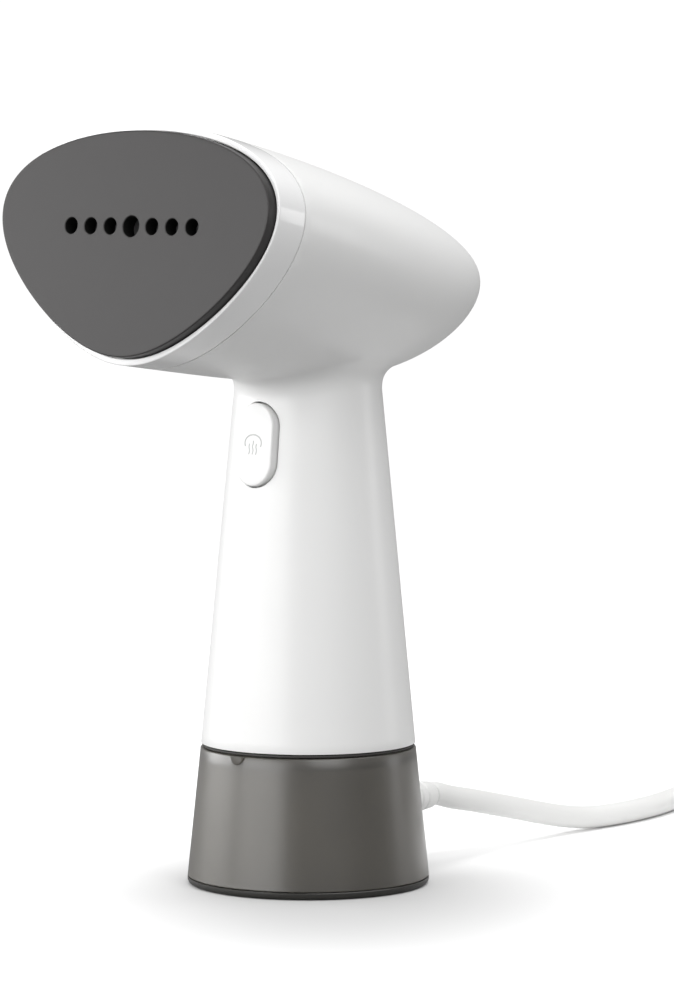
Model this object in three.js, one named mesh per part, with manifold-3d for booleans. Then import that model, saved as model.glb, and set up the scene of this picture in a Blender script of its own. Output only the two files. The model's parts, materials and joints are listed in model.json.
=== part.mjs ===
// Handheld garment steamer: a leaning egg-faced steam head on a conical handle, standing on its
// removable smoky water tank, with a mains lead out of the back.
// Millimetres, +Z up, steam face towards -Y, origin on the floor below the handle's axis.
import * as THREE from 'three';
import { mergeVertices } from 'three/addons/utils/BufferGeometryUtils.js';
import Module from 'manifold-3d';

const wasm = await Module();
wasm.setup();

// ---------------------------------------------------------------- driving dimensions
const gap = 0.3;                      // between fixed pieces that touch
const slideGap = 0.5;                 // round pieces that slide past each other

// Handle and tank: two stacked cones.
const seamHeight = 41.5;              // lower edge of the white handle
const handleFootRadius = 31.35;
const handleTopRadius = 21.4;
const handleTopHeight = 146;          // height at which the top radius is reached
const handleReach = 166;              // the cone goes on up into the head
const shellWall = 2.2;
const tankFootRadius = 35.4;
const tankWall = 1.9;

// Head: egg-shaped sections on an axis that runs back from the steam face.
const headHalfWidth = 51.1;
const headTop = 29.0;                 // above the row of steam holes
const headKeel = 38.6;                // below the row of steam holes
const headLength = 141.5;
const headRise = 3.5;                 // the tip sits this much above the face's own axis
const eggTaper = 0.321;               // how much wider the egg is at the top than at the keel
const faceLean = THREE.MathUtils.degToRad(8.46);
const faceOffset = 73.4;              // rim plane in front of the handle's axis
const holeRowHeight = 192.4;          // row of steam holes at the rim plane

// Front bezel and steam plate.
const bezelDepth = 11.5;
const bezelWall = 4.0;
const bezelLip = 3.5;                 // spigot that reaches into the main shell
const plateSideBorder = 1.2;
const plateTopBorder = 2.05;
const plateProud = 3.0;
const plateSeat = 2.0;                // depth of the plate's pocket in the bezel
const smallHoleRadius = 2.5;
const bigHoleRadius = 3.1;
const holePitch = 7.4;
const centrePitch = 7.8;              // from the big hole to its neighbours

// Heater, inside the bezel and the front of the head.
const boilerInset = 7.5;              // from the head's outer section
const boilerFront = 3.4;
const boilerDepth = 14.6;
const chamberDepth = 5.6;
const chamberWall = 3.0;
const shieldInset = 4.9;
const shieldWall = 1.3;
const shieldDepth = 20;
const elementRadius = 3.3;
const elementHalfSpan = 23;

// Steam button.
const buttonHeight = 129.5;
const buttonWidth = 13.6;
const buttonLength = 24;
const buttonProud = 1.6;
const buttonTravel = 1.4;
const buttonPlay = 0.35;

// Dock under the handle, and the spine that carries the lead down the back of the tank.
const dockThickness = 3;
const sealThickness = 0.7;
const tankTopHeight = seamHeight - 2 * gap - sealThickness;
const spineWidth = 16;
const spineFront = 17.5;
const spineFootHeight = 11.5;
const leadRadius = 3.5;
const channelHalf = leadRadius + slideGap;
const exitHeight = 19.8;              // lead exit above the floor
const inletRadius = 2.8;
const inletBore = 1.4;
const inletReach = seamHeight - 5.5;  // lower end of the dock's inlet pipe

// Tank fittings.
const deckThickness = 1.8;
const deckDepth = 2.0;                // deck below the tank's rim
const floorThickness = 5;
const floorRim = 2.1;                 // height of the base cap's visible rim
const couplingRadius = 6;
const fillerRadius = 7;
const cupRadius = fillerRadius + 2;
const fillerX = -(couplingRadius + cupRadius - 1);   // beside the coupling
const fillerY = 7;
const cupWall = 1.5;
const cupDepth = 5.7;
const stopperTravel = 5;
const tankLift = 45;                  // downward travel that frees the tank

// Pump and controls, inside the handle.
const pumpY = 4;
const pumpFoot = seamHeight + dockThickness + 25.5;
const pumpLength = 46;
const pumpRadius = 5.5;
const coilWidth = 26;
const coilDepth = 22;
const coilHeight = 28;
const boardY = -8;
const boardWidth = 26;
const boardThickness = 1.6;
const boardFoot = buttonHeight - 33.5;
const boardHeight = 44;

// Mains lead: boot, run along the floor, coil, tail and plug.
const bootLength = 22;
const bootRootRadius = leadRadius + 2.4;
const bootTipRadius = leadRadius + 0.65;
const leadOnFloor = leadRadius + 0.1;
const coilMeanRadius = 38.5;
const coilTurnRadii = [2, 0, -2].map((step) => coilMeanRadius + step * leadRadius);
const coilCentre = new THREE.Vector2(25.5, 243);
const tailRadius = coilTurnRadii[0] + 2 * leadRadius + 1;   // start of the tail's half turn
const tailSpread = 7;                 // how much wider that half turn ends, at the plug
const plugAxisHeight = 9.2;
const plugLength = 34;
const plugWidth = 32;
const pinRadius = 2.4;
const pinLength = 19;
const pinSpacing = 19;

const roundSegments = 48;

// ---------------------------------------------------------------- materials
const plastic = (color, roughness) => new THREE.MeshStandardMaterial({ color, roughness, metalness: 0 });
const metal = (color, roughness) => new THREE.MeshStandardMaterial({ color, roughness, metalness: 1 });
const whiteSatin = plastic(0xf1f1ef, 0.38);
const whiteGloss = plastic(0xf6f6f5, 0.12);
const whiteRubber = plastic(0xe8e8e6, 0.55);
const smokyClear = plastic(0x6a6862, 0.15);
const darkRubber = plastic(0x2b2a29, 0.7);
const redRubber = plastic(0x9c4a3c, 0.7);
const blackPlastic = plastic(0x222222, 0.5);
const boardGreen = plastic(0x2f6b3c, 0.45);
const clearHose = plastic(0xd9dcda, 0.4);
const plateCoat = metal(0x5e5a5b, 0.42);
const castAluminium = metal(0x9b9c9e, 0.5);
const steel = metal(0xb4b6b8, 0.3);
const brass = metal(0xc09a4a, 0.35);
const copperWinding = metal(0x9a5a30, 0.5);

// ---------------------------------------------------------------- geometry helpers
// Signed volume of a closed triangle mesh: negative when the faces point inwards.
function signedVolume(geometry) {
  const position = geometry.attributes.position;
  const index = geometry.index;
  const count = index ? index.count : position.count;
  const corner = (i) => new THREE.Vector3().fromBufferAttribute(position, index ? index.getX(i) : i);
  let volume = 0;
  for (let i = 0; i < count; i += 3) {
    volume += corner(i).dot(corner(i + 1).cross(corner(i + 2))) / 6;
  }
  return volume;
}

// Merges shared corners and turns every face outwards.
function closed(geometry) {
  const bare = geometry.clone();
  bare.deleteAttribute('normal');
  bare.deleteAttribute('uv');
  const merged = mergeVertices(bare, 1e-4);
  if (signedVolume(merged) < 0) {
    const order = merged.index.array;
    for (let i = 0; i < order.length; i += 3) {
      [order[i], order[i + 1]] = [order[i + 1], order[i]];
    }
  }
  return merged;
}

function toSolid(geometry) {
  const ready = closed(geometry);
  const vertProperties = new Float32Array(ready.attributes.position.array);
  const triVerts = new Uint32Array(ready.index.array);
  return new wasm.Manifold(new wasm.Mesh({ numProp: 3, vertProperties, triVerts }));
}

function toGeometry(solid) {
  const mesh = solid.getMesh();
  const geometry = new THREE.BufferGeometry();
  geometry.setAttribute('position', new THREE.BufferAttribute(new Float32Array(mesh.vertProperties), 3));
  geometry.setIndex(new THREE.BufferAttribute(new Uint32Array(mesh.triVerts), 1));
  return geometry;
}

function join(...geometries) {
  return toGeometry(geometries.map(toSolid).reduce((a, b) => a.add(b)));
}

function cut(base, ...tools) {
  return toGeometry(tools.map(toSolid).reduce((a, b) => a.subtract(b), toSolid(base)));
}

function common(a, b) {
  return toGeometry(toSolid(a).intersect(toSolid(b)));
}

// Solid of revolution about Z from [radius, height] points that start and end on the axis
// or close on themselves.
function turned(profile, segments = roundSegments) {
  const points = profile.map(([r, z]) => new THREE.Vector2(r, z));
  return closed(new THREE.LatheGeometry(points, segments).rotateX(Math.PI / 2));
}

// Ring of revolution with a rectangular section.
function ring(innerRadius, outerRadius, low, high, segments = roundSegments) {
  return turned([[innerRadius, low], [outerRadius, low], [outerRadius, high],
    [innerRadius, high], [innerRadius, low]], segments);
}

// Round bar between two heights, and its copy along Y.
function bar(radius, low, high, segments = 24) {
  return turned([[0, low], [radius, low], [radius, high], [0, high]], segments);
}

function barAlongY(radius, low, high, segments = 24) {
  return bar(radius, low, high, segments).rotateX(-Math.PI / 2);
}

function box(x0, x1, y0, y1, z0, z1) {
  const shape = new THREE.BoxGeometry(x1 - x0, y1 - y0, z1 - z0);
  return shape.translate((x0 + x1) / 2, (y0 + y1) / 2, (z0 + z1) / 2);
}

// Bar or pipe along a smooth curve through the given points.
function tube(points, radius, sides, steps, bore = 0) {
  const circle = new THREE.Shape();
  circle.absarc(0, 0, radius, 0, 2 * Math.PI, false);
  if (bore > 0) {
    const hole = new THREE.Path();
    hole.absarc(0, 0, bore, 0, 2 * Math.PI, true);
    circle.holes.push(hole);
  }
  const path = new THREE.CatmullRomCurve3(points, false, 'centripetal');
  return closed(new THREE.ExtrudeGeometry(circle, {
    steps, extrudePath: path, curveSegments: sides / 2, bevelEnabled: false,
  }));
}

// Solid through a list of rings with equal point counts, capped flat, or to a point at `tip`.
function loft(rings, tip = null) {
  const size = rings[0].length;
  const vertices = rings.flat();
  const triangles = [];
  for (let r = 0; r + 1 < rings.length; r += 1) {
    for (let i = 0; i < size; i += 1) {
      const a = r * size + i;
      const b = r * size + (i + 1) % size;
      triangles.push(a, b, b + size, a, b + size, a + size);
    }
  }
  const first = vertices.length;
  const last = (rings.length - 1) * size;
  const middle = (points) => points.reduce((sum, p) => sum.add(p), new THREE.Vector3()).divideScalar(size);
  vertices.push(middle(rings[0]), tip ?? middle(rings[rings.length - 1]));
  for (let i = 0; i < size; i += 1) {
    const next = (i + 1) % size;
    triangles.push(next, i, first, last + i, last + next, first + 1);
  }
  const geometry = new THREE.BufferGeometry().setFromPoints(vertices);
  geometry.setIndex(triangles);
  return closed(geometry);
}

// ---------------------------------------------------------------- head sections
// The head's own frame: x across, y into the head from the rim plane, z up the face.
const headFrame = new THREE.Group();
headFrame.position.set(0, -faceOffset, holeRowHeight);
headFrame.rotation.x = -faceLean;
headFrame.updateMatrixWorld(true);

// Egg outline: half-width w, height top above and keel below the row of holes.
function egg(w, top, keel, taper, y, rise = 0, count = 40) {
  const peak = taper > 1e-6 ? (Math.sqrt(1 + 8 * taper * taper) - 1) / (4 * taper) : 0;
  const widest = Math.sqrt(1 - peak * peak) * (1 + taper * peak);
  const points = [];
  for (let i = 0; i < count; i += 1) {
    const angle = (2 * Math.PI * i) / count;
    const s = Math.sin(angle);
    const x = (w / widest) * Math.cos(angle) * (1 + taper * s);
    const z = rise + (top - keel) / 2 + ((top + keel) / 2) * s;
    points.push(new THREE.Vector3(x, y, z));
  }
  return points;
}

// Section of the head at depth y, shrunk by an inset. The three powers shape how the side, crown
// and keel lines run in to the rounded tip.
function headSection(y, inset = 0) {
  const u = Math.max(y, 0) / (headLength - inset);
  const side = Math.sqrt(1 - u ** 2);
  const crown = (1 - u ** 1.323) ** (1 / 2.2);
  const keel = (1 - u ** 4.245) ** (1 / 1.4);
  const w = (headHalfWidth - inset) * side;
  return egg(w, (headTop - inset) * crown, (headKeel - inset) * keel, eggTaper * (1 - u), y, headRise * u);
}

// The head from depth `start` back to its tip.
function headLoft(start, inset, count) {
  const length = headLength - inset;
  const rings = [];
  for (let i = 0; i < count; i += 1) {
    const y = start + (length - start) * Math.sin((Math.PI / 2) * (i / count));
    rings.push(headSection(y, inset));
  }
  return loft(rings, new THREE.Vector3(0, length, headRise));
}

// A prism of the head's section between two depths, with its own inset at each end.
function headBlock(y0, y1, inset0, inset1 = inset0) {
  return loft([headSection(y0, inset0), headSection(y1, inset1)]);
}

// The same egg with one fixed outline, for the pieces that are plain prisms.
function eggBlock(inset, y0, y1) {
  const outline = (y) => egg(headHalfWidth - inset, headTop - inset, headKeel - inset, eggTaper, y);
  return loft([outline(y0), outline(y1)]);
}

const inWorld = (geometry) => geometry.clone().applyMatrix4(headFrame.matrixWorld);

// Cone radii at a height.
const handleSlope = (handleFootRadius - handleTopRadius) / (handleTopHeight - seamHeight);
const handleRadius = (z) => handleFootRadius - (z - seamHeight) * handleSlope;
const tankSlope = (tankFootRadius - handleFootRadius) / (seamHeight - floorRim);
const tankRadius = (z) => tankFootRadius - (z - floorRim) * tankSlope;

// ---------------------------------------------------------------- scene graph
const steamer = new THREE.Group();
steamer.add(headFrame);

function add(parent, name, geometry, material) {
  const mesh = new THREE.Mesh(geometry, material);
  mesh.name = name;
  parent.add(mesh);
  return mesh;
}

// ---------------------------------------------------------------- button frame
// x across, y into the handle, z up the handle's front line.
const handleLean = Math.atan(handleSlope);
const buttonFrame = new THREE.Group();
buttonFrame.position.set(0, -handleRadius(buttonHeight), buttonHeight);
buttonFrame.rotation.x = -handleLean;
buttonFrame.updateMatrixWorld(true);
steamer.add(buttonFrame);

// Upright round-ended outline, extruded from depth y0 to y1.
function stadium(width, length, y0, y1) {
  const radius = width / 2;
  const straight = length / 2 - radius;
  const shape = new THREE.Shape();
  shape.absarc(0, straight, radius, 0, Math.PI, false);
  shape.absarc(0, -straight, radius, Math.PI, 2 * Math.PI, false);
  shape.closePath();
  const solid = new THREE.ExtrudeGeometry(shape, { depth: y1 - y0, curveSegments: 12, bevelEnabled: false });
  return closed(solid.rotateX(Math.PI / 2).translate(0, y1, 0));
}

// ---------------------------------------------------------------- white housing
// Head and handle are one moulding, open at the bezel and at the foot.
function mainShell() {
  const start = bezelDepth + gap;
  const outerHead = inWorld(headLoft(start, 0, 12));
  const innerHead = inWorld(headLoft(start - 1, shellWall, 9));
  const outerCone = turned([[0, seamHeight], [handleFootRadius, seamHeight],
    [handleRadius(handleReach), handleReach], [0, handleReach]]);
  const low = seamHeight - 1;
  const innerCone = turned([[0, low], [handleRadius(low) - shellWall, low],
    [handleRadius(handleReach) - shellWall, handleReach], [0, handleReach]]);
  const opening = stadium(buttonWidth + 2 * buttonPlay, buttonLength + 2 * buttonPlay, -8, 8);
  opening.applyMatrix4(buttonFrame.matrixWorld);
  return cut(join(outerHead, outerCone), innerHead, innerCone, opening);
}
add(steamer, 'main_shell', mainShell(), whiteSatin);

// ---------------------------------------------------------------- front bezel and steam plate
function plateOutline(inset, y) {
  return egg(headHalfWidth - plateSideBorder - inset, headTop - plateTopBorder - inset,
    headKeel - plateTopBorder - inset, eggTaper, y);
}

function frontBezel() {
  const skin = loft([headSection(0, 0.3), headSection(0.8), headSection(bezelDepth)]);
  const lip = headBlock(bezelDepth - 0.5, bezelDepth + bezelLip, shellWall + 1.5 * gap);
  const pocket = loft([plateOutline(-gap, -1), plateOutline(-gap, plateSeat)]);
  const bore = headBlock(plateSeat - 0.5, bezelDepth + bezelLip + 1, bezelWall);
  return cut(join(skin, lip), pocket, bore);
}
add(headFrame, 'front_bezel', frontBezel(), whiteGloss);

function steamPlate() {
  const back = plateSeat - gap;
  const slab = loft([plateOutline(0, back), plateOutline(0, -plateProud + 1.4),
    plateOutline(0.45, -plateProud + 0.4), plateOutline(1.3, -plateProud)]);
  const holes = [barAlongY(bigHoleRadius, -plateProud - 1, back + 1)];
  for (const side of [-1, 1]) {
    for (let i = 0; i < 3; i += 1) {
      const hole = barAlongY(smallHoleRadius, -plateProud - 1, back + 1, 20);
      holes.push(hole.translate(side * (centrePitch + i * holePitch), 0, 0));
    }
  }
  return cut(slab, ...holes);
}
add(headFrame, 'steam_plate', steamPlate(), plateCoat);

// ---------------------------------------------------------------- heater
const boilerBack = boilerFront + boilerDepth;
const elementPoints = [
  [-elementHalfSpan, 4], [-elementHalfSpan, -6], [-elementHalfSpan + 5, -15], [-8, -21],
  [8, -21], [elementHalfSpan - 5, -15], [elementHalfSpan, -6], [elementHalfSpan, 4],
].map(([x, z]) => new THREE.Vector3(x, boilerBack, z));

function boiler() {
  const block = eggBlock(boilerInset, boilerFront, boilerBack);
  const chamber = eggBlock(boilerInset + chamberWall, boilerFront - 1, boilerFront + chamberDepth);
  const reach = elementPoints.map((p) => p.clone());
  reach[0].z += 3;
  reach[reach.length - 1].z += 3;
  const groove = tube(reach, elementRadius + 2 * gap, 12, 20);
  const feed = barAlongY(1.2, boilerFront, boilerBack + 1, 12).translate(0, 0, -6);
  return cut(block, chamber, groove, feed);
}
add(headFrame, 'boiler', boiler(), castAluminium);
add(headFrame, 'heating_element', tube(elementPoints, elementRadius, 12, 20), steel);

const gasket = cut(eggBlock(boilerInset, plateSeat - gap + gap, boilerFront - gap),
  eggBlock(boilerInset + chamberWall, 0, boilerFront + 1));
add(headFrame, 'plate_gasket', gasket, redRubber);

const shield = cut(eggBlock(shieldInset, boilerFront, boilerFront + shieldDepth),
  eggBlock(shieldInset + shieldWall, 0, boilerFront + shieldDepth + 1));
add(headFrame, 'heat_shield', shield, blackPlastic);

const behindBoiler = boilerBack + gap;
const thermostat = join(barAlongY(8, behindBoiler, behindBoiler + 5), box(-6, -3.5, behindBoiler + 4,
  behindBoiler + 11, -3, 3), box(3.5, 6, behindBoiler + 4, behindBoiler + 11, -3, 3));
add(headFrame, 'thermostat', thermostat.translate(0, 0, 9), blackPlastic);

const fuse = bar(2, -6, 6, 16).rotateY(Math.PI / 2).translate(0, behindBoiler + 2, -14.5);
add(headFrame, 'thermal_fuse', fuse, steel);

const feedNozzle = cut(join(barAlongY(4, behindBoiler, behindBoiler + 2), barAlongY(2.2, behindBoiler + 1,
  behindBoiler + 9, 16)), barAlongY(1.1, behindBoiler - 1, behindBoiler + 10, 12));
add(headFrame, 'feed_nozzle', feedNozzle.translate(0, 0, -6), brass);

// ---------------------------------------------------------------- steam button and switch
// A flange behind the curved wall keeps the button in; a stem reaches back to the switch.
const flangeHalf = buttonWidth / 2 + 1.7;
const gripRadius = handleRadius(buttonHeight);
const flangeFront = gripRadius - Math.sqrt((gripRadius - shellWall) ** 2 - flangeHalf ** 2) + 2 * gap;
const stemEnd = flangeFront + 2.8;

function triggerButton() {
  const crown = stadium(buttonWidth, buttonLength, -buttonProud, flangeFront + 0.5);
  const flangeLength = buttonLength + 2 * flangeHalf - buttonWidth;
  const flange = stadium(2 * flangeHalf, flangeLength, flangeFront, flangeFront + 1.2);
  const stem = barAlongY(2, flangeFront, stemEnd, 16);
  return join(crown, flange, stem);
}
add(buttonFrame, 'trigger_button', triggerButton(), whiteSatin);

const boardFront = boardY - boardThickness;
const switchFront = -gripRadius + stemEnd + buttonTravel + slideGap;
const board = box(-boardWidth / 2, boardWidth / 2, boardFront, boardY, boardFoot, boardFoot + boardHeight);
add(steamer, 'circuit_board', board, boardGreen);
add(steamer, 'microswitch', box(-6.5, 6.5, switchFront, boardFront - gap, buttonHeight - 5, buttonHeight + 5),
  blackPlastic);

// ---------------------------------------------------------------- pump
const coilFoot = pumpFoot + (pumpLength - coilHeight) / 2;

function pumpBody() {
  const barrel = bar(pumpRadius, pumpFoot, pumpFoot + pumpLength);
  const lowerNozzle = bar(2.2, pumpFoot - 7, pumpFoot + 1, 16);
  const upperNozzle = bar(2.2, pumpFoot + pumpLength - 1, pumpFoot + pumpLength + 7, 16);
  return join(barrel, lowerNozzle, upperNozzle).translate(0, pumpY, 0);
}
add(steamer, 'pump_barrel', pumpBody(), whiteRubber);

const coilBlock = cut(box(-coilWidth / 2, coilWidth / 2, -coilDepth / 2, coilDepth / 2, coilFoot,
  coilFoot + coilHeight), bar(pumpRadius + gap, coilFoot - 1, coilFoot + coilHeight + 1));
add(steamer, 'pump_coil', coilBlock.translate(0, pumpY, 0), copperWinding);

const pumpMounts = [['pump_mount_lower', coilFoot - 5], ['pump_mount_upper', coilFoot + coilHeight + gap]];
for (const [name, low] of pumpMounts) {
  const mount = ring(pumpRadius + gap, pumpRadius + 6, low, low + 5 - gap, 24);
  add(steamer, name, mount.translate(0, pumpY, 0), darkRubber);
}

// ---------------------------------------------------------------- dock, spine and seal
const dockTop = seamHeight + dockThickness;
const dockRadius = handleRadius(dockTop) - shellWall - gap;
const sealTop = seamHeight - gap;
const leadY = (spineFront + 1.5 + handleFootRadius - 1.9) / 2;   // middle of the spine's channel

function dockBase() {
  const plate = bar(dockRadius, seamHeight, dockTop, roundSegments);
  const half = spineWidth / 2;
  const block = box(-half, half, spineFront, tankFootRadius + 2, spineFootHeight, sealTop);
  const cone = turned([[0, 0], [tankRadius(0), 0], [tankRadius(sealTop), sealTop], [0, sealTop]]);
  const neck = common(box(-half, half, spineFront, tankFootRadius, sealTop - 1, dockTop),
    bar(dockRadius, sealTop - 1, dockTop, roundSegments));
  const channel = box(-channelHalf, channelHalf, leadY - channelHalf - 1, leadY + channelHalf,
    exitHeight - channelHalf, dockTop + 1);
  const exit = barAlongY(5.3, leadY, tankFootRadius + 4).translate(0, 0, exitHeight);
  const inlet = bar(inletRadius + gap, seamHeight - 1, dockTop + 1, 16);
  const body = join(plate, common(block, cone), neck);
  return cut(body, channel, exit, inlet, ...screwHoles(seamHeight - 1, dockTop + 1, 1.6 + gap));
}

// Two screws hold the dock to the handle, either side of the inlet.
function screwHoles(low, high, radius) {
  return [-18, 18].map((x) => bar(radius, low, high, 16).translate(x, 0, 0));
}
add(steamer, 'dock_base', dockBase(), whiteSatin);

const dockScrews = screwHoles(seamHeight + 0.4, dockTop + 9, 1.6);
add(steamer, 'dock_screw_l', dockScrews[0], steel);
add(steamer, 'dock_screw_r', dockScrews[1], steel);

const sealLow = sealTop - sealThickness;
const sealCutHalf = spineWidth / 2 + gap;
const dockSeal = cut(ring(handleFootRadius - 4, handleFootRadius - 0.3, sealLow, sealTop),
  box(-sealCutHalf, sealCutHalf, 10, 50, sealLow - 1, sealTop + 1));
add(steamer, 'dock_seal', dockSeal, darkRubber);

const inletTop = dockTop + 6;
const inletPipe = ring(inletBore, inletRadius, inletReach, inletTop, 20);
add(steamer, 'inlet_pipe', inletPipe, whiteRubber);

// ---------------------------------------------------------------- hoses and wires inside
const v = (x, y, z) => new THREE.Vector3(x, y, z);
const suctionHose = tube([v(0, 0, inletTop + gap), v(0, 0, inletTop + 2), v(0, pumpY, pumpFoot - 9),
  v(0, pumpY, pumpFoot - 7 - gap)], 2.6, 12, 8, inletBore);
add(steamer, 'suction_hose', suctionHose, clearHose);

const nozzleTip = v(0, behindBoiler + 9 + gap, -6).applyMatrix4(headFrame.matrixWorld);
const nozzleMouth = v(0, behindBoiler + 12, -6).applyMatrix4(headFrame.matrixWorld);
const pumpTop = pumpFoot + pumpLength + 7 + gap;
const deliveryHose = tube([v(0, pumpY, pumpTop), v(0, pumpY, pumpTop + 3), v(0, pumpY, pumpTop + 20),
  v(0, 3, 152), v(0, -6, 170), v(0, -24, 181), nozzleMouth, nozzleTip], 2.6, 12, 20, inletBore);
add(steamer, 'delivery_hose', deliveryHose, clearHose);

for (const [name, side] of [['heater_wire_l', -1], ['heater_wire_r', 1]]) {
  const x = side * elementHalfSpan;
  const terminal = v(x, behindBoiler + elementRadius + 1.6, 2).applyMatrix4(headFrame.matrixWorld);
  const wire = tube([v(side * 10, boardY + 2, boardFoot + 20), v(side * 11, boardY + 4, 150),
    v(side * 14, -12, 172), v(side * 19, -34, 184), terminal], 1.1, 8, 14);
  add(steamer, name, wire, name.endsWith('l') ? darkRubber : redRubber);
}

// ---------------------------------------------------------------- lead inside, clamp, terminals
const clampHeight = dockTop + 3;
const innerLead = tube([v(0, leadY + channelHalf - 0.8, exitHeight), v(0, leadY + 1.6, exitHeight + 0.4),
  v(0, leadY, exitHeight + 5), v(0, leadY - 0.4, dockTop - 2), v(0, leadY - 1.6, clampHeight + 9)],
leadRadius, 10, 14);
add(steamer, 'inner_lead', innerLead, whiteRubber);

const strapFront = leadY - leadRadius - 3;

function cordClamp() {
  const strap = box(-11, 11, strapFront, leadY + 1, clampHeight, clampHeight + 5);
  const saddle = bar(leadRadius + 2 * gap, clampHeight - 1, clampHeight + 6).translate(0, leadY - 1, 0);
  const behind = box(-leadRadius - 2 * gap, leadRadius + 2 * gap, leadY - 1, leadY + 4, clampHeight - 1,
    clampHeight + 6);
  const holes = [-8, 8].map((x) => barAlongY(1.5 + gap, strapFront - 1, leadY + 3, 12)
    .translate(x, 0, clampHeight + 2.5));
  return cut(strap, saddle, behind, ...holes);
}
add(steamer, 'cord_clamp', cordClamp(), blackPlastic);
for (const [name, x] of [['clamp_screw_l', -8], ['clamp_screw_r', 8]]) {
  const shank = barAlongY(1.5, strapFront - gap - 1, leadY + 1.5, 12);
  const head = barAlongY(2.7, strapFront - gap - 1.8, strapFront - gap, 16);
  add(steamer, name, join(shank, head).translate(x, 0, clampHeight + 2.5), steel);
}
const terminalBlock = box(-9, 9, leadY - 14, leadY - 3, clampHeight + 14, clampHeight + 23);
add(steamer, 'terminal_block', terminalBlock, whiteRubber);

// ---------------------------------------------------------------- water tank
const deckTop = tankTopHeight - deckDepth;
const deckLow = deckTop - deckThickness;
const recessHalf = spineWidth / 2 + slideGap;
const recessFront = spineFront - slideGap;
const recessFloor = spineFootHeight - slideGap;
const cupFloor = deckTop - cupDepth;

function waterTank() {
  const outer = turned([[0, floorRim + gap], [tankRadius(floorRim + gap), floorRim + gap],
    [tankRadius(tankTopHeight), tankTopHeight], [0, tankTopHeight]]);
  const cavity = turned([[0, floorRim], [tankRadius(floorRim) - tankWall, floorRim],
    [tankRadius(deckLow) - tankWall, deckLow], [0, deckLow]]);
  const recessWalls = box(-recessHalf - tankWall, recessHalf + tankWall, recessFront - tankWall, 60,
    recessFloor - tankWall, deckLow + 1);
  const cup = bar(cupRadius + cupWall, cupFloor - cupWall, deckLow + 1, 28).translate(fillerX, fillerY, 0);
  const neck = bar(couplingRadius + 1.8, deckLow - 3.5, deckLow + 1, 28);
  const well = turned([[0, deckTop], [tankRadius(deckTop) - tankWall, deckTop],
    [tankRadius(tankTopHeight + 1) - tankWall, tankTopHeight + 1], [0, tankTopHeight + 1]]);
  const recess = box(-recessHalf, recessHalf, recessFront, 60, recessFloor, tankTopHeight + 1);
  const cupSpace = bar(cupRadius, cupFloor, tankTopHeight, 28).translate(fillerX, fillerY, 0);
  const fillerHole = bar(fillerRadius, cupFloor - cupWall - 1, cupFloor + 1, 28)
    .translate(fillerX, fillerY, 0);
  const couplingHole = bar(couplingRadius, deckLow - 5, deckTop + 1, 28);
  const key = box(-2.6, 2.6, -tankRadius(38) - 0.55, -tankRadius(38) + 1.2, 37.4, tankTopHeight);
  const water = cut(cavity, recessWalls, cup, neck);
  return cut(join(outer, key), water, well, recess, cupSpace, fillerHole, couplingHole);
}
add(steamer, 'water_tank', waterTank(), smokyClear);

function tankFloor() {
  const plug = tankRadius(floorThickness) - tankWall - gap;
  return turned([[0, 0], [tankFootRadius - 2.0, 0], [tankFootRadius - 0.9, 0.25], [tankFootRadius - 0.2, 1.0],
    [tankFootRadius, floorRim], [plug, floorRim], [plug, floorThickness], [0, floorThickness]]);
}
add(steamer, 'tank_floor', tankFloor(), smokyClear);

const couplingSeal = turned([[inletRadius + 0.4, deckLow - 2], [couplingRadius - gap, deckLow - 2],
  [couplingRadius - gap, deckTop + gap], [couplingRadius + 1, deckTop + gap],
  [couplingRadius + 1, deckTop + 1.5], [inletRadius + 0.4, deckTop + 1.5],
  [inletRadius + 0.4, deckLow - 2]], 28);
add(steamer, 'coupling_seal', couplingSeal, darkRubber);

const suctionTop = deckLow - 2 - gap;
const suctionTube = tube([v(0, 0, suctionTop), v(0, -1.6, suctionTop - 3.4), v(0, -9, suctionTop - 7),
  v(0, -17, suctionTop - 10), v(0, -22, 19), v(0, -24.6, 13), v(0, -24.6, 10.4)], 2.3, 12, 18, 1.3);
add(steamer, 'suction_tube', suctionTube, clearHose);
add(steamer, 'suction_filter', bar(3.4, floorThickness + gap, 10, 20).translate(0, -24.6, 0), whiteRubber);

function fillerStopper() {
  const plug = bar(fillerRadius - gap, cupFloor - cupWall - 2.2, cupFloor + 0.5, 28);
  const flange = bar(fillerRadius + 0.9, cupFloor + gap, cupFloor + 1.7, 28);
  const tab = box(-4, 4, -0.8, 0.8, cupFloor + 1.5, cupFloor + 3.4);
  return join(plug, flange, tab).translate(fillerX, fillerY, 0);
}
add(steamer, 'filler_stopper', fillerStopper(), darkRubber);

// ---------------------------------------------------------------- strain relief and mains lead
const collarRadius = 7.2;
const bootStart = tankRadius(exitHeight - collarRadius) + gap;
const bootEnd = bootStart + bootLength;

function strainRelief() {
  const inner = leadY + channelHalf + gap;
  const profile = [[0, inner], [5, inner], [5, bootStart], [collarRadius, bootStart],
    [collarRadius, bootStart + 1.6], [bootRootRadius, bootStart + 2.4], [bootTipRadius, bootEnd - 1],
    [bootTipRadius - 0.5, bootEnd], [0, bootEnd]];
  return turned(profile, 28).rotateX(-Math.PI / 2).translate(0, 0, exitHeight);
}
add(steamer, 'strain_relief', strainRelief(), whiteRubber);

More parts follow.
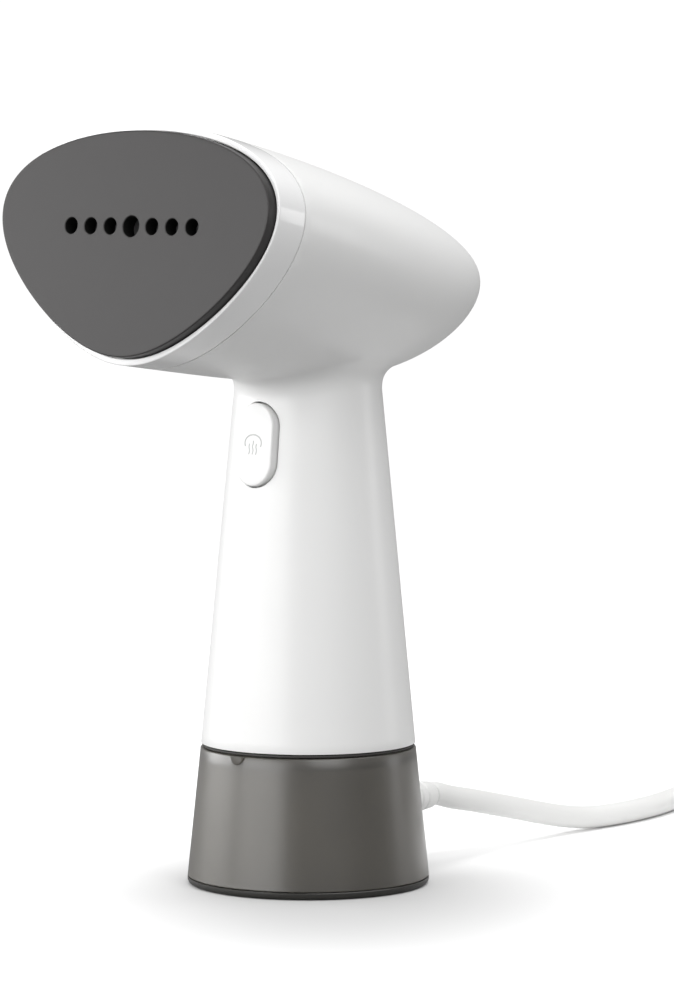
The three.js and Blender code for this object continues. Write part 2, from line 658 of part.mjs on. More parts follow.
// From the boot the lead sinks to the floor, runs straight back and swings in beside the coil.
const leadPoints = [
  v(0, bootEnd + gap, exitHeight), v(0, bootEnd + 2.8, exitHeight), v(0, 67, 17.9), v(0, 77, 15.9),
  v(0, 88, 13.5), v(0, 102, 10.4), v(0, 114, 7.7), v(0, 126, 5.4), v(0, 138, leadOnFloor + 0.3),
  v(0.6, 150, leadOnFloor), v(0.2, 162, leadOnFloor), v(-1.6, 175, leadOnFloor), v(-4.8, 188, leadOnFloor),
  v(-9.6, 203, leadOnFloor),
];
add(steamer, 'mains_cord', tube(leadPoints, leadRadius, 10, 30), whiteRubber);

// The rest of the lead is put away in a flat coil of two layers.
const coilOuter = Math.max(...coilTurnRadii) + leadRadius;
const coilInner = Math.min(...coilTurnRadii) - leadRadius;
const coilSolid = ring(coilInner, coilOuter, 0.1, 0.1 + 4 * leadRadius, 40);
add(steamer, 'cord_coil', coilSolid.translate(coilCentre.x, coilCentre.y, 0), whiteRubber);

// The tail leaves the top layer, drops outside the coil and comes round to the plug.
const tailPoints = [];
for (const degrees of [122, 110, 98, 86, 74, 62, 50, 38, 26, 14, 4, 0]) {
  const angle = THREE.MathUtils.degToRad(degrees);
  const drop = THREE.MathUtils.smoothstep(122 - degrees, 0, 40);
  const climb = THREE.MathUtils.smoothstep(30 - degrees, 0, 30);
  const z = THREE.MathUtils.lerp(7.5, leadOnFloor, drop) + (plugAxisHeight - leadOnFloor) * climb;
  const radius = tailRadius + tailSpread * THREE.MathUtils.smoothstep(122 - degrees, 40, 122);
  tailPoints.push(v(coilCentre.x + radius * Math.cos(angle), coilCentre.y + radius * Math.sin(angle), z));
}
add(steamer, 'cord_tail', tube(tailPoints, leadRadius, 10, 24), whiteRubber);

// ---------------------------------------------------------------- plug
const plugFrame = new THREE.Group();
plugFrame.position.set(coilCentre.x + tailRadius + tailSpread, coilCentre.y - 2 * gap, plugAxisHeight);
steamer.add(plugFrame);

function plugBody() {
  const section = (y, halfWidth, halfHeight) => {
    const points = [];
    for (let i = 0; i < 28; i += 1) {
      const angle = (2 * Math.PI * i) / 28;
      const power = (value) => Math.sign(value) * Math.abs(value) ** 0.75;
      points.push(v(halfWidth * power(Math.cos(angle)), y, halfHeight * power(Math.sin(angle))));
    }
    return points;
  };
  const shell = loft([section(0, leadRadius + 0.9, leadRadius + 0.9),
    section(-12, leadRadius + 1.9, leadRadius + 1.7), section(-15, 9, 6.6), section(-20, 11.5, 7.6),
    section(-30, 12.5, 8), section(-12 - plugLength + 6, plugWidth / 2, 9),
    section(-12 - plugLength, plugWidth / 2, 9)]);
  const sockets = [-1, 1].map((side) => barAlongY(pinRadius + gap, -14 - plugLength, -2 - plugLength, 16)
    .translate((side * pinSpacing) / 2, 0, 0));
  return cut(shell, ...sockets);
}
add(plugFrame, 'plug_body', plugBody(), whiteRubber);
for (const [name, side] of [['plug_pin_l', -1], ['plug_pin_r', 1]]) {
  const pin = barAlongY(pinRadius, -12 - plugLength - pinLength, -3 - plugLength, 16);
  add(plugFrame, name, pin.translate((side * pinSpacing) / 2, 0, 0), steel);
}

steamer.updateMatrixWorld(true);
export default steamer;
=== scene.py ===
import json
import math

import bmesh
import bpy
import numpy as np
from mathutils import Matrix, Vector

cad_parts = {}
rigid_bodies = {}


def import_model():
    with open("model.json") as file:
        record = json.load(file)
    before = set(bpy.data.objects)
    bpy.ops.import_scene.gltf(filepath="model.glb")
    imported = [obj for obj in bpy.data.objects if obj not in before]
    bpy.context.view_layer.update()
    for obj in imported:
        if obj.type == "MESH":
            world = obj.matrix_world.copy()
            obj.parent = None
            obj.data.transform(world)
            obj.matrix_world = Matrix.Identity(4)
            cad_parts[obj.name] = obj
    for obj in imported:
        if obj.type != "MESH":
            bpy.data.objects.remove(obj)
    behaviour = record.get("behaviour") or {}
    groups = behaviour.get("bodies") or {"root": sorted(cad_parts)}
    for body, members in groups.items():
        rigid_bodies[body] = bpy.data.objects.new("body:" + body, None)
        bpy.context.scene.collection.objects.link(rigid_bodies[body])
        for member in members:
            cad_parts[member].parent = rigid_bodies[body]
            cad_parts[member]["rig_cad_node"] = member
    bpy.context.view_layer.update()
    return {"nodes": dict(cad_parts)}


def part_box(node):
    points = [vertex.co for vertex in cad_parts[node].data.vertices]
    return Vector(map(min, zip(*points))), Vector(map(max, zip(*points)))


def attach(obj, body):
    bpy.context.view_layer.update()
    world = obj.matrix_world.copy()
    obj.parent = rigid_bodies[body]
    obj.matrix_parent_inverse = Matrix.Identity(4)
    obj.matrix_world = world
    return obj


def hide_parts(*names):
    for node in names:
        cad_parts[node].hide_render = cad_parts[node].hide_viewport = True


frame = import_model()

scene = bpy.context.scene
nodes = frame["nodes"]


# ---------------- camera, floor and studio light
# A long lens looks slightly down on the steamer, which stands on a matt white table. Two low
# panels light it from the lens's left, a square one from high on its right and a large one from
# above. A small one behind puts a streak in the bezel's gloss.
camera_data = bpy.data.cameras.new("camera")
camera_data.lens = 167.67
camera_data.sensor_width = 36.0
camera_data.clip_end = 20.0
camera = bpy.data.objects.new("camera", camera_data)
camera.location = (0.87317, -1.03470, 0.21353)
camera.rotation_euler = (math.radians(90 - 4.278), 0, math.radians(39.805))
scene.collection.objects.link(camera)
scene.camera = camera
scene.view_settings.view_transform = "Standard"


def grid_faces(rows, columns, wrap_rows=False, wrap_columns=True):
    """Quads between neighbours of a rows by columns grid: vertex (i, j) is number i * columns + j."""
    i = np.arange(rows if wrap_rows else rows - 1)[:, None]
    j = np.arange(columns if wrap_columns else columns - 1)[None, :]
    down = (i + 1) % rows
    right = (j + 1) % columns
    corners = [i * columns + j, i * columns + right, down * columns + right, down * columns + j]
    return np.stack(np.broadcast_arrays(*corners), axis=-1).reshape(-1, 4)


def mesh_piece(name, points, faces, smooth=True):
    """One named object at the origin from points (N, 3) in metres and its faces."""
    mesh = bpy.data.meshes.new(name)
    mesh.from_pydata(points.reshape(-1, 3).tolist(), [], [list(map(int, face)) for face in faces])
    mesh.shade_smooth() if smooth else mesh.shade_flat()
    mesh.validate()
    piece = bpy.data.objects.new(name, mesh)
    scene.collection.objects.link(piece)
    return piece


def ring_stack(name, rings, cap_first=True, cap_last=True, smooth=True):
    """A closed skin through rings of shape (rings, points, 3); each open end closes with a flat face."""
    count, columns = rings.shape[:2]
    faces = grid_faces(count, columns).tolist()
    if cap_first:
        faces.append(list(range(columns))[::-1])
    if cap_last:
        faces.append([(count - 1) * columns + j for j in range(columns)])
    return mesh_piece(name, rings, faces, smooth)


def feed(tree, node, inputs):
    """Sets inputs of a node by name or number, or links those whose value is another node's socket."""
    for label, value in inputs.items():
        if isinstance(value, bpy.types.NodeSocket):
            tree.links.new(value, node.inputs[label])
        else:
            node.inputs[label].default_value = value


def add_node(tree, kind, inputs, **settings):
    """A new shader node with its settings and its inputs."""
    node = tree.nodes.new(kind)
    for label, value in settings.items():
        setattr(node, label, value)
    feed(tree, node, inputs)
    return node


def show_camera(tree, output, other, seen):
    """Shows the lens the shader seen, and all other rays the shader other."""
    path = add_node(tree, "ShaderNodeLightPath", {})
    mix = add_node(tree, "ShaderNodeMixShader", {"Fac": path.outputs["Is Camera Ray"], 1: other, 2: seen})
    feed(tree, tree.nodes[output], {"Surface": mix.outputs["Shader"]})


# The floor is a white disc. The lens sees it white, with a painted shadow round the steamer's foot: a darker
# pool in the colour it shows the lens. The light it returns is weak, as from black card, except behind the
# steamer, under the lead.
FLOOR_RADIUS = 1.05
FLOOR_SIDES = 180
floor_turn = np.linspace(0, 2 * math.pi, FLOOR_SIDES, endpoint=False)
floor_edge = FLOOR_RADIUS * np.stack([np.cos(floor_turn), np.sin(floor_turn), np.zeros(FLOOR_SIDES)], axis=1)
floor = mesh_piece("floor", floor_edge, [range(FLOOR_SIDES)], smooth=False)
floor_paint = bpy.data.materials.new("floor_white")
floor_paint.use_nodes = True
floor_tree = floor_paint.node_tree
floor_place = add_node(floor_tree, "ShaderNodeTexCoord", {}).outputs["Object"]
card_reach = add_node(floor_tree, "ShaderNodeVectorMath", {0: floor_place, 1: (0, 0.17, 0)},
                      operation="DISTANCE")
card_return = add_node(floor_tree, "ShaderNodeMapRange", {
    "Value": card_reach.outputs["Value"], "From Min": 0.08, "From Max": 0.15,
    "To Min": 0.85, "To Max": 0.25})
floor_lit = add_node(floor_tree, "ShaderNodeBsdfDiffuse", {"Color": card_return.outputs["Result"]})
# Painted shadow: a soft oval pool, darker towards the foot and shifted towards the lens, painted into the
# floor's colour as the lens sees it.
shadow_pool_place = add_node(floor_tree, "ShaderNodeMapping", {
    "Vector": floor_place, "Location": (0.038, -0.026, 0), "Rotation": (0, 0, math.radians(39.8)),
    "Scale": (0.095, 0.15, 1.0)}, vector_type="TEXTURE")
shadow_pool_reach = add_node(floor_tree, "ShaderNodeVectorMath", {0: shadow_pool_place.outputs["Vector"]},
                      operation="LENGTH")
painted_shadow_pool = add_node(floor_tree, "ShaderNodeMapRange", {
    "Value": shadow_pool_reach.outputs["Value"], "From Min": 0.10, "From Max": 1.15, "To Min": 0.62, "To Max": 1.0},
    interpolation_type="SMOOTHSTEP")
floor_seen = floor_tree.nodes["Principled BSDF"]
feed(floor_tree, floor_seen, {
    "Base Color": painted_shadow_pool.outputs["Result"], "Roughness": 0.9, "Specular IOR Level": 0.0})
show_camera(floor_tree, "Material Output", floor_lit.outputs["BSDF"], floor_seen.outputs["BSDF"])
floor.data.materials.append(floor_paint)

# The room is white where the lens looks past the table and dim where it only lights the steamer.
world = bpy.data.worlds.new("studio")
world.use_nodes = True
room = world.node_tree
room_light = room.nodes["Background"]
feed(room, room_light, {"Color": (1, 1, 1, 1), "Strength": 0.32})
room_white = add_node(room, "ShaderNodeBackground", {"Color": (1, 1, 1, 1), "Strength": 1.05})
show_camera(room, "World Output", room_light.outputs["Background"], room_white.outputs["Background"])
scene.world = world


def soft_box(name, place, aim, width, height, power):
    """A rectangular area light at place that faces the point aim."""
    data = bpy.data.lights.new(name, "AREA")
    data.shape = "RECTANGLE"
    data.size, data.size_y = width, height
    data.energy = power
    light = bpy.data.objects.new(name, data)
    light.location = place
    light.rotation_euler = (Vector(aim) - Vector(place)).to_track_quat("-Z", "Y").to_euler()
    scene.collection.objects.link(light)


soft_box("left_panel", (-0.22, -1.28, 0.34), (0, 0, 0.20), 1.2, 0.6, 9.5)
soft_box("far_left_panel", (-1.18, -0.55, 0.34), (0, 0, 0.20), 1.2, 0.6, 10.5)
soft_box("front_box", (1.15, -0.60, 0.90), (0, 0, 0.12), 1.0, 1.0, 8.5)
soft_box("back_strip", (0.74, 0.94, 0.20), (0, 0, 0.19), 0.30, 0.34, 0.8)
soft_box("top_box", (0.0, 0.3, 1.9), (0, 0, 0.1), 2.2, 2.2, 38)


# ---------------- mains lead
# A round white PVC lead, 7 mm thick and 1.8 m long from the end of its boot. It sinks to the
# floor, runs straight back and lies wound in a flat coil of two layers behind the steamer.
LEAD_RADIUS = 0.0035
LEAD_SIDES = 20
LEAD_STEP = 0.0011
STEPS_PER_TURN = 28
lead_height = 0.0036
boot_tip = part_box("strain_relief")[1].y
exit_height = 0.0198
coil_centre = np.array([0.0255, 0.243])
coil_turns = [0.0455, 0.0385, 0.0315]
tail_radius = coil_turns[0] + 2 * LEAD_RADIUS + 0.001
tail_spread = 0.007
plug_axis = np.array([coil_centre[0] + tail_radius + tail_spread, coil_centre[1] - 0.0006, 0.0092])


def smooth_step(value, low, high):
    """0 below low, 1 above high, and 3t^2 - 2t^3 between them."""
    t = np.clip((value - low) / (high - low), 0, 1)
    return t * t * (3 - 2 * t)


def smooth_route(points, step):
    """A curve through points (N, 3): cubic Hermite spans whose tangents are the chord between the two
    neighbours over the knots' distance, with knots spaced by the square root of each chord."""
    points = np.asarray(points, float)
    knots = np.concatenate([[0], np.cumsum(np.linalg.norm(np.diff(points, axis=0), axis=1) ** 0.5)])
    tangents = np.gradient(points, knots, axis=0)
    fine = np.linspace(0, knots[-1], 12 * len(points))
    span = np.clip(np.searchsorted(knots, fine, side="right") - 1, 0, len(points) - 2)
    width = (knots[span + 1] - knots[span])[:, None]
    t = (fine - knots[span])[:, None] / width
    route = ((2 * t**3 - 3 * t**2 + 1) * points[span] + (t**3 - 2 * t**2 + t) * width * tangents[span]
             + (3 * t**2 - 2 * t**3) * points[span + 1] + (t**3 - t**2) * width * tangents[span + 1])
    travelled = np.concatenate([[0], np.cumsum(np.linalg.norm(np.diff(route, axis=0), axis=1))])
    even = np.linspace(0, travelled[-1], max(2, round(travelled[-1] / step)))
    return np.stack([np.interp(even, travelled, route[:, k]) for k in range(3)], axis=1)


# From the boot to the coil.
lead_route = np.array([
    (0, boot_tip + 0.0003, exit_height), (0, boot_tip + 0.0028, exit_height), (0, 0.067, 0.0179),
    (0, 0.077, 0.0159), (0, 0.088, 0.0135), (0, 0.102, 0.0104), (0, 0.114, 0.0077), (0, 0.126, 0.0054),
    (0, 0.138, 0.0039), (0.0006, 0.150, lead_height), (0.0002, 0.162, lead_height),
    (-0.0016, 0.175, lead_height), (-0.0048, 0.188, lead_height), (-0.0096, 0.203, lead_height),
    (-0.0162, 0.224, lead_height),
])

# Clockwise round the coil, in to the middle below and out again on top. Each turn moves over to the
# next radius in its second half, the last one later still, and the third climbs to the upper layer.
turn_radii = np.array(coil_turns + coil_turns[::-1] + [tail_radius])
turn = np.arange(0, 6, 1 / STEPS_PER_TURN)
whole = turn.astype(int)
moved = smooth_step(turn - whole, np.where(turn < 5, 0.5, 0.7), 1.0)
radius = turn_radii[whole] * (1 - moved) + turn_radii[whole + 1] * moved
angle = math.pi - 2 * math.pi * turn
height = lead_height + 2 * LEAD_RADIUS * smooth_step(turn, 2.3, 2.85)
height -= 0.0006 * smooth_step(turn, 5.9, 6.1)
coil_route = np.stack([coil_centre[0] + radius * np.cos(angle), coil_centre[1] + radius * np.sin(angle),
                       height], axis=1)

# The tail drops outside the coil and comes round to the plug.
degrees = np.array([174, 160, 147, 134, 122, 110, 98, 86, 74, 62, 50, 38, 26, 14, 4, 0])
radius = tail_radius + tail_spread * smooth_step(122.0 - degrees, 40, 122)
angle = np.radians(degrees)
above = np.interp(degrees, [122, 134, 147, 160, 174], [0, 0.0009, 0.0016, 0.0021, 0.0024])
drop = smooth_step(122.0 - degrees, 0, 40)
height = (0.0075 + above) * (1 - drop) + lead_height * drop
height += (plug_axis[2] - lead_height) * smooth_step(30.0 - degrees, 0, 30)
tail_route = np.stack([coil_centre[0] + radius * np.cos(angle), coil_centre[1] + radius * np.sin(angle),
                       height], axis=1)

lead_line = smooth_route(np.concatenate([lead_route, coil_route, tail_route]), LEAD_STEP)


def tube_rings(line, radius, sides):
    """Rings round a line of points: centre + r (cos a across + sin a up), where across is level and
    square to the line's direction, and up is square to both."""
    ahead = np.gradient(line, axis=0)
    ahead /= np.linalg.norm(ahead, axis=1, keepdims=True)
    across = np.cross(ahead, [0, 0, 1])
    across /= np.linalg.norm(across, axis=1, keepdims=True)
    up = np.cross(across, ahead)
    a = np.linspace(0, 2 * math.pi, sides, endpoint=False)[None, :, None]
    return line[:, None] + radius * (np.cos(a) * across[:, None] + np.sin(a) * up[:, None])


lead = ring_stack("mains_lead", tube_rings(lead_line, LEAD_RADIUS, LEAD_SIDES)[:, ::-1])
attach(lead, "steamer")
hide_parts("mains_cord", "cord_coil", "cord_tail")


# ---------------- finishes shared by the mouldings
# Every moulding carries the fine skin of its tool: a grain too small to see as dots, faint flow
# variation in its gloss, and rubbed patches where hands and cloth touch it.
skin = bpy.data.node_groups.new("tool_skin", "ShaderNodeTree")
for label, value in (("Grain Scale", 2500.0), ("Grain Depth", 0.1), ("Gloss", 0.3), ("Gloss Spread", 0.05),
                     ("Patch Scale", 40.0)):
    skin.interface.new_socket(label, in_out="INPUT", socket_type="NodeSocketFloat").default_value = value
for label, kind in (("Roughness", "Float"), ("Patches", "Float"), ("Normal", "Vector")):
    skin.interface.new_socket(label, in_out="OUTPUT", socket_type="NodeSocket" + kind)
skin_in = skin.nodes.new("NodeGroupInput").outputs
skin_place = add_node(skin, "ShaderNodeTexCoord", {}).outputs["Object"]
skin_grain = add_node(skin, "ShaderNodeTexNoise", {
    "Vector": skin_place, "Scale": skin_in["Grain Scale"], "Detail": 3.0, "Roughness": 0.5}).outputs["Fac"]
skin_patch = add_node(skin, "ShaderNodeTexNoise", {
    "Vector": skin_place, "Scale": skin_in["Patch Scale"], "Detail": 4.0, "Roughness": 0.6}).outputs["Fac"]
skin_centre = add_node(skin, "ShaderNodeMath", {0: skin_patch, 1: 0.5}, operation="SUBTRACT")
skin_gloss = add_node(skin, "ShaderNodeMath", {
    0: skin_centre.outputs["Value"], 1: skin_in["Gloss Spread"], 2: skin_in["Gloss"]},
    operation="MULTIPLY_ADD")
skin_bump = add_node(skin, "ShaderNodeBump", {
    "Strength": skin_in["Grain Depth"], "Distance": 0.00002, "Height": skin_grain})
feed(skin, skin.nodes.new("NodeGroupOutput"), {
    "Roughness": skin_gloss.outputs["Value"], "Patches": skin_patch, "Normal": skin_bump.outputs["Normal"]})


def moulded(name, colour, shade, gloss, spread=0.06, grain=0.1, grain_scale=2500.0, **plain):
    """A Principled finish whose colour drifts from colour to shade with the skin's patches. The words
    in plain are values set on the shader's own sockets."""
    paint = bpy.data.materials.new(name)
    paint.use_nodes = True
    tree = paint.node_tree
    surface = add_node(tree, "ShaderNodeGroup", {
        "Grain Scale": grain_scale, "Grain Depth": grain, "Gloss": gloss, "Gloss Spread": spread},
        node_tree=skin)
    drift = add_node(tree, "ShaderNodeMix", {
        "Factor": surface.outputs["Patches"], "A": (*colour, 1), "B": (*shade, 1)}, data_type="RGBA")
    feed(tree, tree.nodes["Principled BSDF"], {
        "Base Color": drift.outputs["Result"], "Roughness": surface.outputs["Roughness"],
        "Normal": surface.outputs["Normal"]})
    feed(tree, tree.nodes["Principled BSDF"], {label.replace("_", " "): plain[label] for label in plain})
    return paint


def dress(piece, paint, body=None):
    """Gives a piece or a CAD node one finish and the body that it rides on."""
    piece.data.materials.clear()
    piece.data.materials.append(paint)
    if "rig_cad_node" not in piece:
        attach(piece, body)


white_rubber = moulded("white_pvc", (0.80, 0.80, 0.79), (0.76, 0.76, 0.75), 0.38, grain=0.25,
                       grain_scale=1800.0)
lead.data.materials.append(white_rubber)


# ---------------- boot at the lead's exit
# A tapered sleeve of the lead's own PVC, moulded onto it. Its collar sits behind a round hole
# in the spine, and five shallow grooves let it bend.
def turned_rings(profile, sides):
    """Rings of a profile of (radius, height) points turned about Z: (r cos a, r sin a, h)."""
    radii, heights = np.asarray(profile, float).T
    a = np.linspace(0, 2 * math.pi, sides, endpoint=False)
    return np.stack(np.broadcast_arrays(radii[:, None] * np.cos(a), radii[:, None] * np.sin(a),
                                        heights[:, None]), axis=-1)


def weld(piece, distance=1e-7):
    """Merges doubled vertices and turns every face outwards."""
    work = bmesh.new()
    work.from_mesh(piece.data)
    bmesh.ops.remove_doubles(work, verts=work.verts, dist=distance)
    bmesh.ops.recalc_face_normals(work, faces=work.faces)
    work.to_mesh(piece.data)
    work.free()


def crease(piece, degrees=35.0):
    """Bakes the piece's modifiers into its mesh and keeps edges sharper than the angle crisp."""
    bpy.context.view_layer.update()
    ready = bpy.data.meshes.new_from_object(piece.evaluated_get(bpy.context.evaluated_depsgraph_get()))
    old = piece.data
    piece.modifiers.clear()
    piece.data = ready
    ready.name = piece.name
    bpy.data.meshes.remove(old)
    ready.shade_smooth()
    ready.set_sharp_from_angle(angle=math.radians(degrees))


def turned_piece(name, profile, sides, place=lambda rings: rings):
    """A closed piece from a (radius, height) profile that starts and ends on the axis. The function
    place takes its rings from the Z axis to where they belong."""
    rings = turned_rings(profile, sides)
    rings[[0, -1], :, :2] = 0
    piece = ring_stack(name, place(rings), cap_first=False, cap_last=False)
    weld(piece)
    return piece


def along_y(centre_x, centre_z):
    """A move for rings stacked up Z that stacks them along Y: (x, y, z) goes to (cx + x, z, cz - y)."""
    return lambda rings: np.stack([centre_x + rings[..., 0], rings[..., 2], centre_z - rings[..., 1]],
                                  axis=-1)


BOOT_ROOT = 0.0059
BOOT_TIP = 0.00415
COLLAR = 0.0072
BOOT_REACH = 0.022
COLLAR_LENGTH = 0.0024
GROOVES = 5.5
GROOVE_DEPTH = 0.00045
boot_low, boot_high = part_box("strain_relief")
collar_face = boot_high.y - BOOT_REACH
boot_run = np.linspace(0, 1, 60)
boot_y = collar_face + COLLAR_LENGTH + (boot_high.y - 0.0012 - collar_face - COLLAR_LENGTH) * boot_run
boot_taper = BOOT_ROOT + (BOOT_TIP - BOOT_ROOT) * boot_run ** 0.85
groove = GROOVE_DEPTH * np.clip(np.sin(boot_run * GROOVES * 2 * math.pi) - 0.35, 0, 1) * (boot_run < 0.91)
boot_profile = np.concatenate([
    [(0, boot_low.y), (0.0050, boot_low.y), (0.0050, collar_face), (COLLAR - 0.0004, collar_face),
     (COLLAR, collar_face + 0.0004), (COLLAR, collar_face + 0.0012), (COLLAR - 0.0004, collar_face + 0.0017),
     (BOOT_ROOT + 0.0002, collar_face + 0.0019)],
    np.stack([boot_taper - groove, boot_y], axis=1),
    [(BOOT_TIP - 0.0001, boot_high.y - 0.0006), (BOOT_TIP - 0.0003, boot_high.y - 0.0002),
     (BOOT_TIP - 0.0005, boot_high.y), (0, boot_high.y)]])
boot = turned_piece("strain_relief_boot", boot_profile, 72, along_y(0.0, exit_height))
crease(boot)
dress(boot, white_rubber, "steamer")
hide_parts("strain_relief")


# ---------------- plug
# A moulded two-pin plug of the same white PVC. Its body swells from the lead to a wide face,
# with finger grooves on both flat sides. The two nickel-plated round pins have domed tips.
PLUG_LENGTH = 0.046
PLUG_HALF_WIDTH = 0.016
PIN_RADIUS = 0.0024
PIN_SPACING = 0.019
PIN_LENGTH = 0.019
PIN_DOME = 0.7
RIB_DEPTH = 0.0007
RIB_PITCH = 0.0030
plug_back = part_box("plug_body")[1].y

plug_run = np.linspace(0, PLUG_LENGTH, 93)
plug_stations = np.array([0, 0.0115, 0.0135, 0.0165, 0.020, 0.030, 0.039, 0.0452, PLUG_LENGTH])
plug_wide = np.interp(plug_run, plug_stations,
                      [0.0044, 0.0054, 0.0068, 0.0098, 0.0115, 0.0127, 0.0158, PLUG_HALF_WIDTH, 0.0155])
plug_tall = np.interp(plug_run, plug_stations,
                      [0.0044, 0.0052, 0.0058, 0.0069, 0.0076, 0.0081, 0.0089, 0.009, 0.0085])
soften = np.hanning(9) / np.hanning(9).sum()
plug_wide[4:-4] = np.convolve(plug_wide, soften, mode="valid")
plug_tall[4:-4] = np.convolve(plug_tall, soften, mode="valid")
finger = (RIB_DEPTH * np.sin(2 * math.pi * (plug_run - 0.0200) / RIB_PITCH)
          * smooth_step(plug_run, 0.0195, 0.021) * (1 - smooth_step(plug_run, 0.0345, 0.036)))

# The plug's section is a rounded rectangle: x = w |cos a|^p sign(cos a), z = h |sin a|^p sign(sin a).
SECTION_POWER = 0.75
plug_turn = np.linspace(0, 2 * math.pi, 72, endpoint=False)
unit = np.stack([np.cos(plug_turn), np.sin(plug_turn)], axis=-1)
unit = np.sign(unit) * np.abs(unit) ** SECTION_POWER
flatness = np.clip(np.abs(unit[:, 1]) - np.abs(unit[:, 0]) * 0.9, 0, 1)
plug_x = plug_wide[:, None] * unit[:, 0]
plug_z = plug_tall[:, None] * unit[:, 1] - np.sign(unit[:, 1]) * np.abs(finger)[:, None] * flatness
plug_rings = np.stack(np.broadcast_arrays(plug_axis[0] + plug_x, plug_back - plug_run[:, None],
                                          plug_axis[2] + plug_z), axis=-1)
plug = ring_stack("plug_moulding", plug_rings)
weld(plug)
crease(plug, 40)
dress(plug, white_rubber, "steamer")
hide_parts("plug_body")

nickel = moulded("nickel_plate", (0.62, 0.62, 0.60), (0.55, 0.55, 0.53), 0.18, grain=0.15, Metallic=1.0)
plug_face = plug_back - PLUG_LENGTH
pin_turn = np.radians(np.linspace(0, 90, 8))
pin_tip = np.stack([PIN_RADIUS * np.cos(pin_turn), PIN_RADIUS * PIN_DOME * np.sin(pin_turn)], axis=1)
for side, node in ((-1, "plug_pin_l"), (1, "plug_pin_r")):
    pin_profile = [(0, plug_face + 0.0005), (PIN_RADIUS, plug_face + 0.0005)] + [
        (r, plug_face - PIN_LENGTH + PIN_DOME * PIN_RADIUS - t) for r, t in pin_tip]
    pin = turned_piece(f"pin_{node[-1]}", pin_profile, 40,
                       along_y(plug_axis[0] + side * PIN_SPACING / 2, plug_axis[2]))
    crease(pin)
    dress(pin, nickel, "steamer")
    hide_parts(node)


# ---------------- head and handle moulding
# One white satin moulding of 2.2 mm wall: an egg-sectioned head whose tip points backwards, and a
# conical handle that flows into its belly through a small fillet. Its front and foot are open.
SEAM_HEIGHT = 0.0415
HANDLE_FOOT = 0.03135
HANDLE_SLOPE = 0.09522
SHELL_WALL = 0.0022
HEAD_HALF_WIDTH = 0.0511
HEAD_TOP = 0.0290
HEAD_KEEL = 0.0386
HEAD_LENGTH = 0.1415
HEAD_RISE = 0.0035
EGG_TAPER = 0.321
FILLET = 0.0062
SHELL_FRONT = 0.0118
face_lean = math.radians(8.46)
head_place = np.array([0, -0.0734, 0.1924])
head_axes = np.array([[1, 0, 0], [0, math.cos(face_lean), -math.sin(face_lean)],
                      [0, math.sin(face_lean), math.cos(face_lean)]])
shell_centre = np.array([0, 0, 0.175])


def from_head(local):
    """Points given as (across, depth behind the rim plane, up the face) in the row frame."""
    return head_place + local @ head_axes


def egg(depth):
    """The head's section at a depth: half width w sqrt(1 - u^2), top t (1 - u^1.323)^(1/2.2), keel
    k (1 - u^4.245)^(1/1.4), taper and rise in step with u, the depth over the head's length."""
    u = depth / HEAD_LENGTH
    half = HEAD_HALF_WIDTH * np.sqrt(1 - u**2)
    top = HEAD_TOP * (1 - u**1.323) ** (1 / 2.2)
    keel = HEAD_KEEL * (1 - u**4.245) ** (1 / 1.4)
    return half, top, keel, EGG_TAPER * (1 - u) + 1e-6, HEAD_RISE * u


def egg_widest(taper):
    """The largest cos(a) (1 + taper sin(a)), found where sin(a) = (sqrt(1 + 8 taper^2) - 1) / (4 taper)."""
    peak = (np.sqrt(1 + 8 * taper**2) - 1) / (4 * taper)
    return np.sqrt(1 - peak**2) * (1 + taper * peak)


def outside_head(points):
    """(rho - 1) times the section's half height, where rho is 1 on the egg at the point's own depth."""
    local = (points - head_place) @ head_axes.T
    depth = local[..., 1]
    half, top, keel, taper, rise = egg(np.clip(depth, 0, 0.9998 * HEAD_LENGTH))
    half_height = (top + keel) / 2
    up = (local[..., 2] - rise - (top - keel) / 2) / half_height
    across = local[..., 0] * egg_widest(taper) / (half * (1 + taper * np.clip(up, -1, 1)))
    field = (np.hypot(across, up) - 1) * half_height
    return np.maximum(field, np.maximum(-0.02 - depth, depth - HEAD_LENGTH))


def outside_handle(points):
    """The distance from the axis less the cone's radius at that height, capped inside the head."""
    radius = HANDLE_FOOT - (points[..., 2] - SEAM_HEIGHT) * HANDLE_SLOPE
    return np.maximum(np.hypot(points[..., 0], points[..., 1]) - radius, points[..., 2] - 0.166)


def outside_shell(points):
    """The smaller of the two fields, blended over FILLET: min - (FILLET - |difference|)^2 / (4 FILLET)."""
    head, handle = outside_head(points), outside_handle(points)
    overlap = np.clip(FILLET - np.abs(head - handle), 0, None)
    return np.minimum(head, handle) - overlap**2 / (4 * FILLET)


# Rays from a point inside the head find the skin, in level rows up the handle and then in turns past
# the fillet to straight up. Each ray halves its way to where the field is zero.
HIGHEST_ROW = 0.138
FILLET_TURN = math.radians(74)
row_heights = np.linspace(SEAM_HEIGHT - 0.003, HIGHEST_ROW, 36)
row_radii = HANDLE_FOOT - (row_heights - SEAM_HEIGHT) * HANDLE_SLOPE
row_turns = np.arctan2(row_radii, shell_centre[2] - row_heights)
row_turns = np.concatenate([row_turns, np.linspace(row_turns[-1], FILLET_TURN, 84)[1:],
                            np.linspace(FILLET_TURN, math.pi, 92)[1:]])
column_turns = np.linspace(0, 2 * math.pi, 184, endpoint=False)
rays = np.stack(np.broadcast_arrays(np.sin(row_turns)[:, None] * np.cos(column_turns),
                                    np.sin(row_turns)[:, None] * np.sin(column_turns),
                                    -np.cos(row_turns)[:, None]), axis=-1)
near, far = np.zeros(rays.shape[:2]), np.full(rays.shape[:2], 0.2)
for _ in range(34):
    middle = (near + far) / 2
    inside = outside_shell(shell_centre + rays * middle[..., None]) < 0
    near, far = np.where(inside, middle, near), np.where(inside, far, middle)
shell_points = shell_centre + rays * near[..., None]
shell = ring_stack("head_and_handle", shell_points, cap_first=False, cap_last=False)
weld(shell)


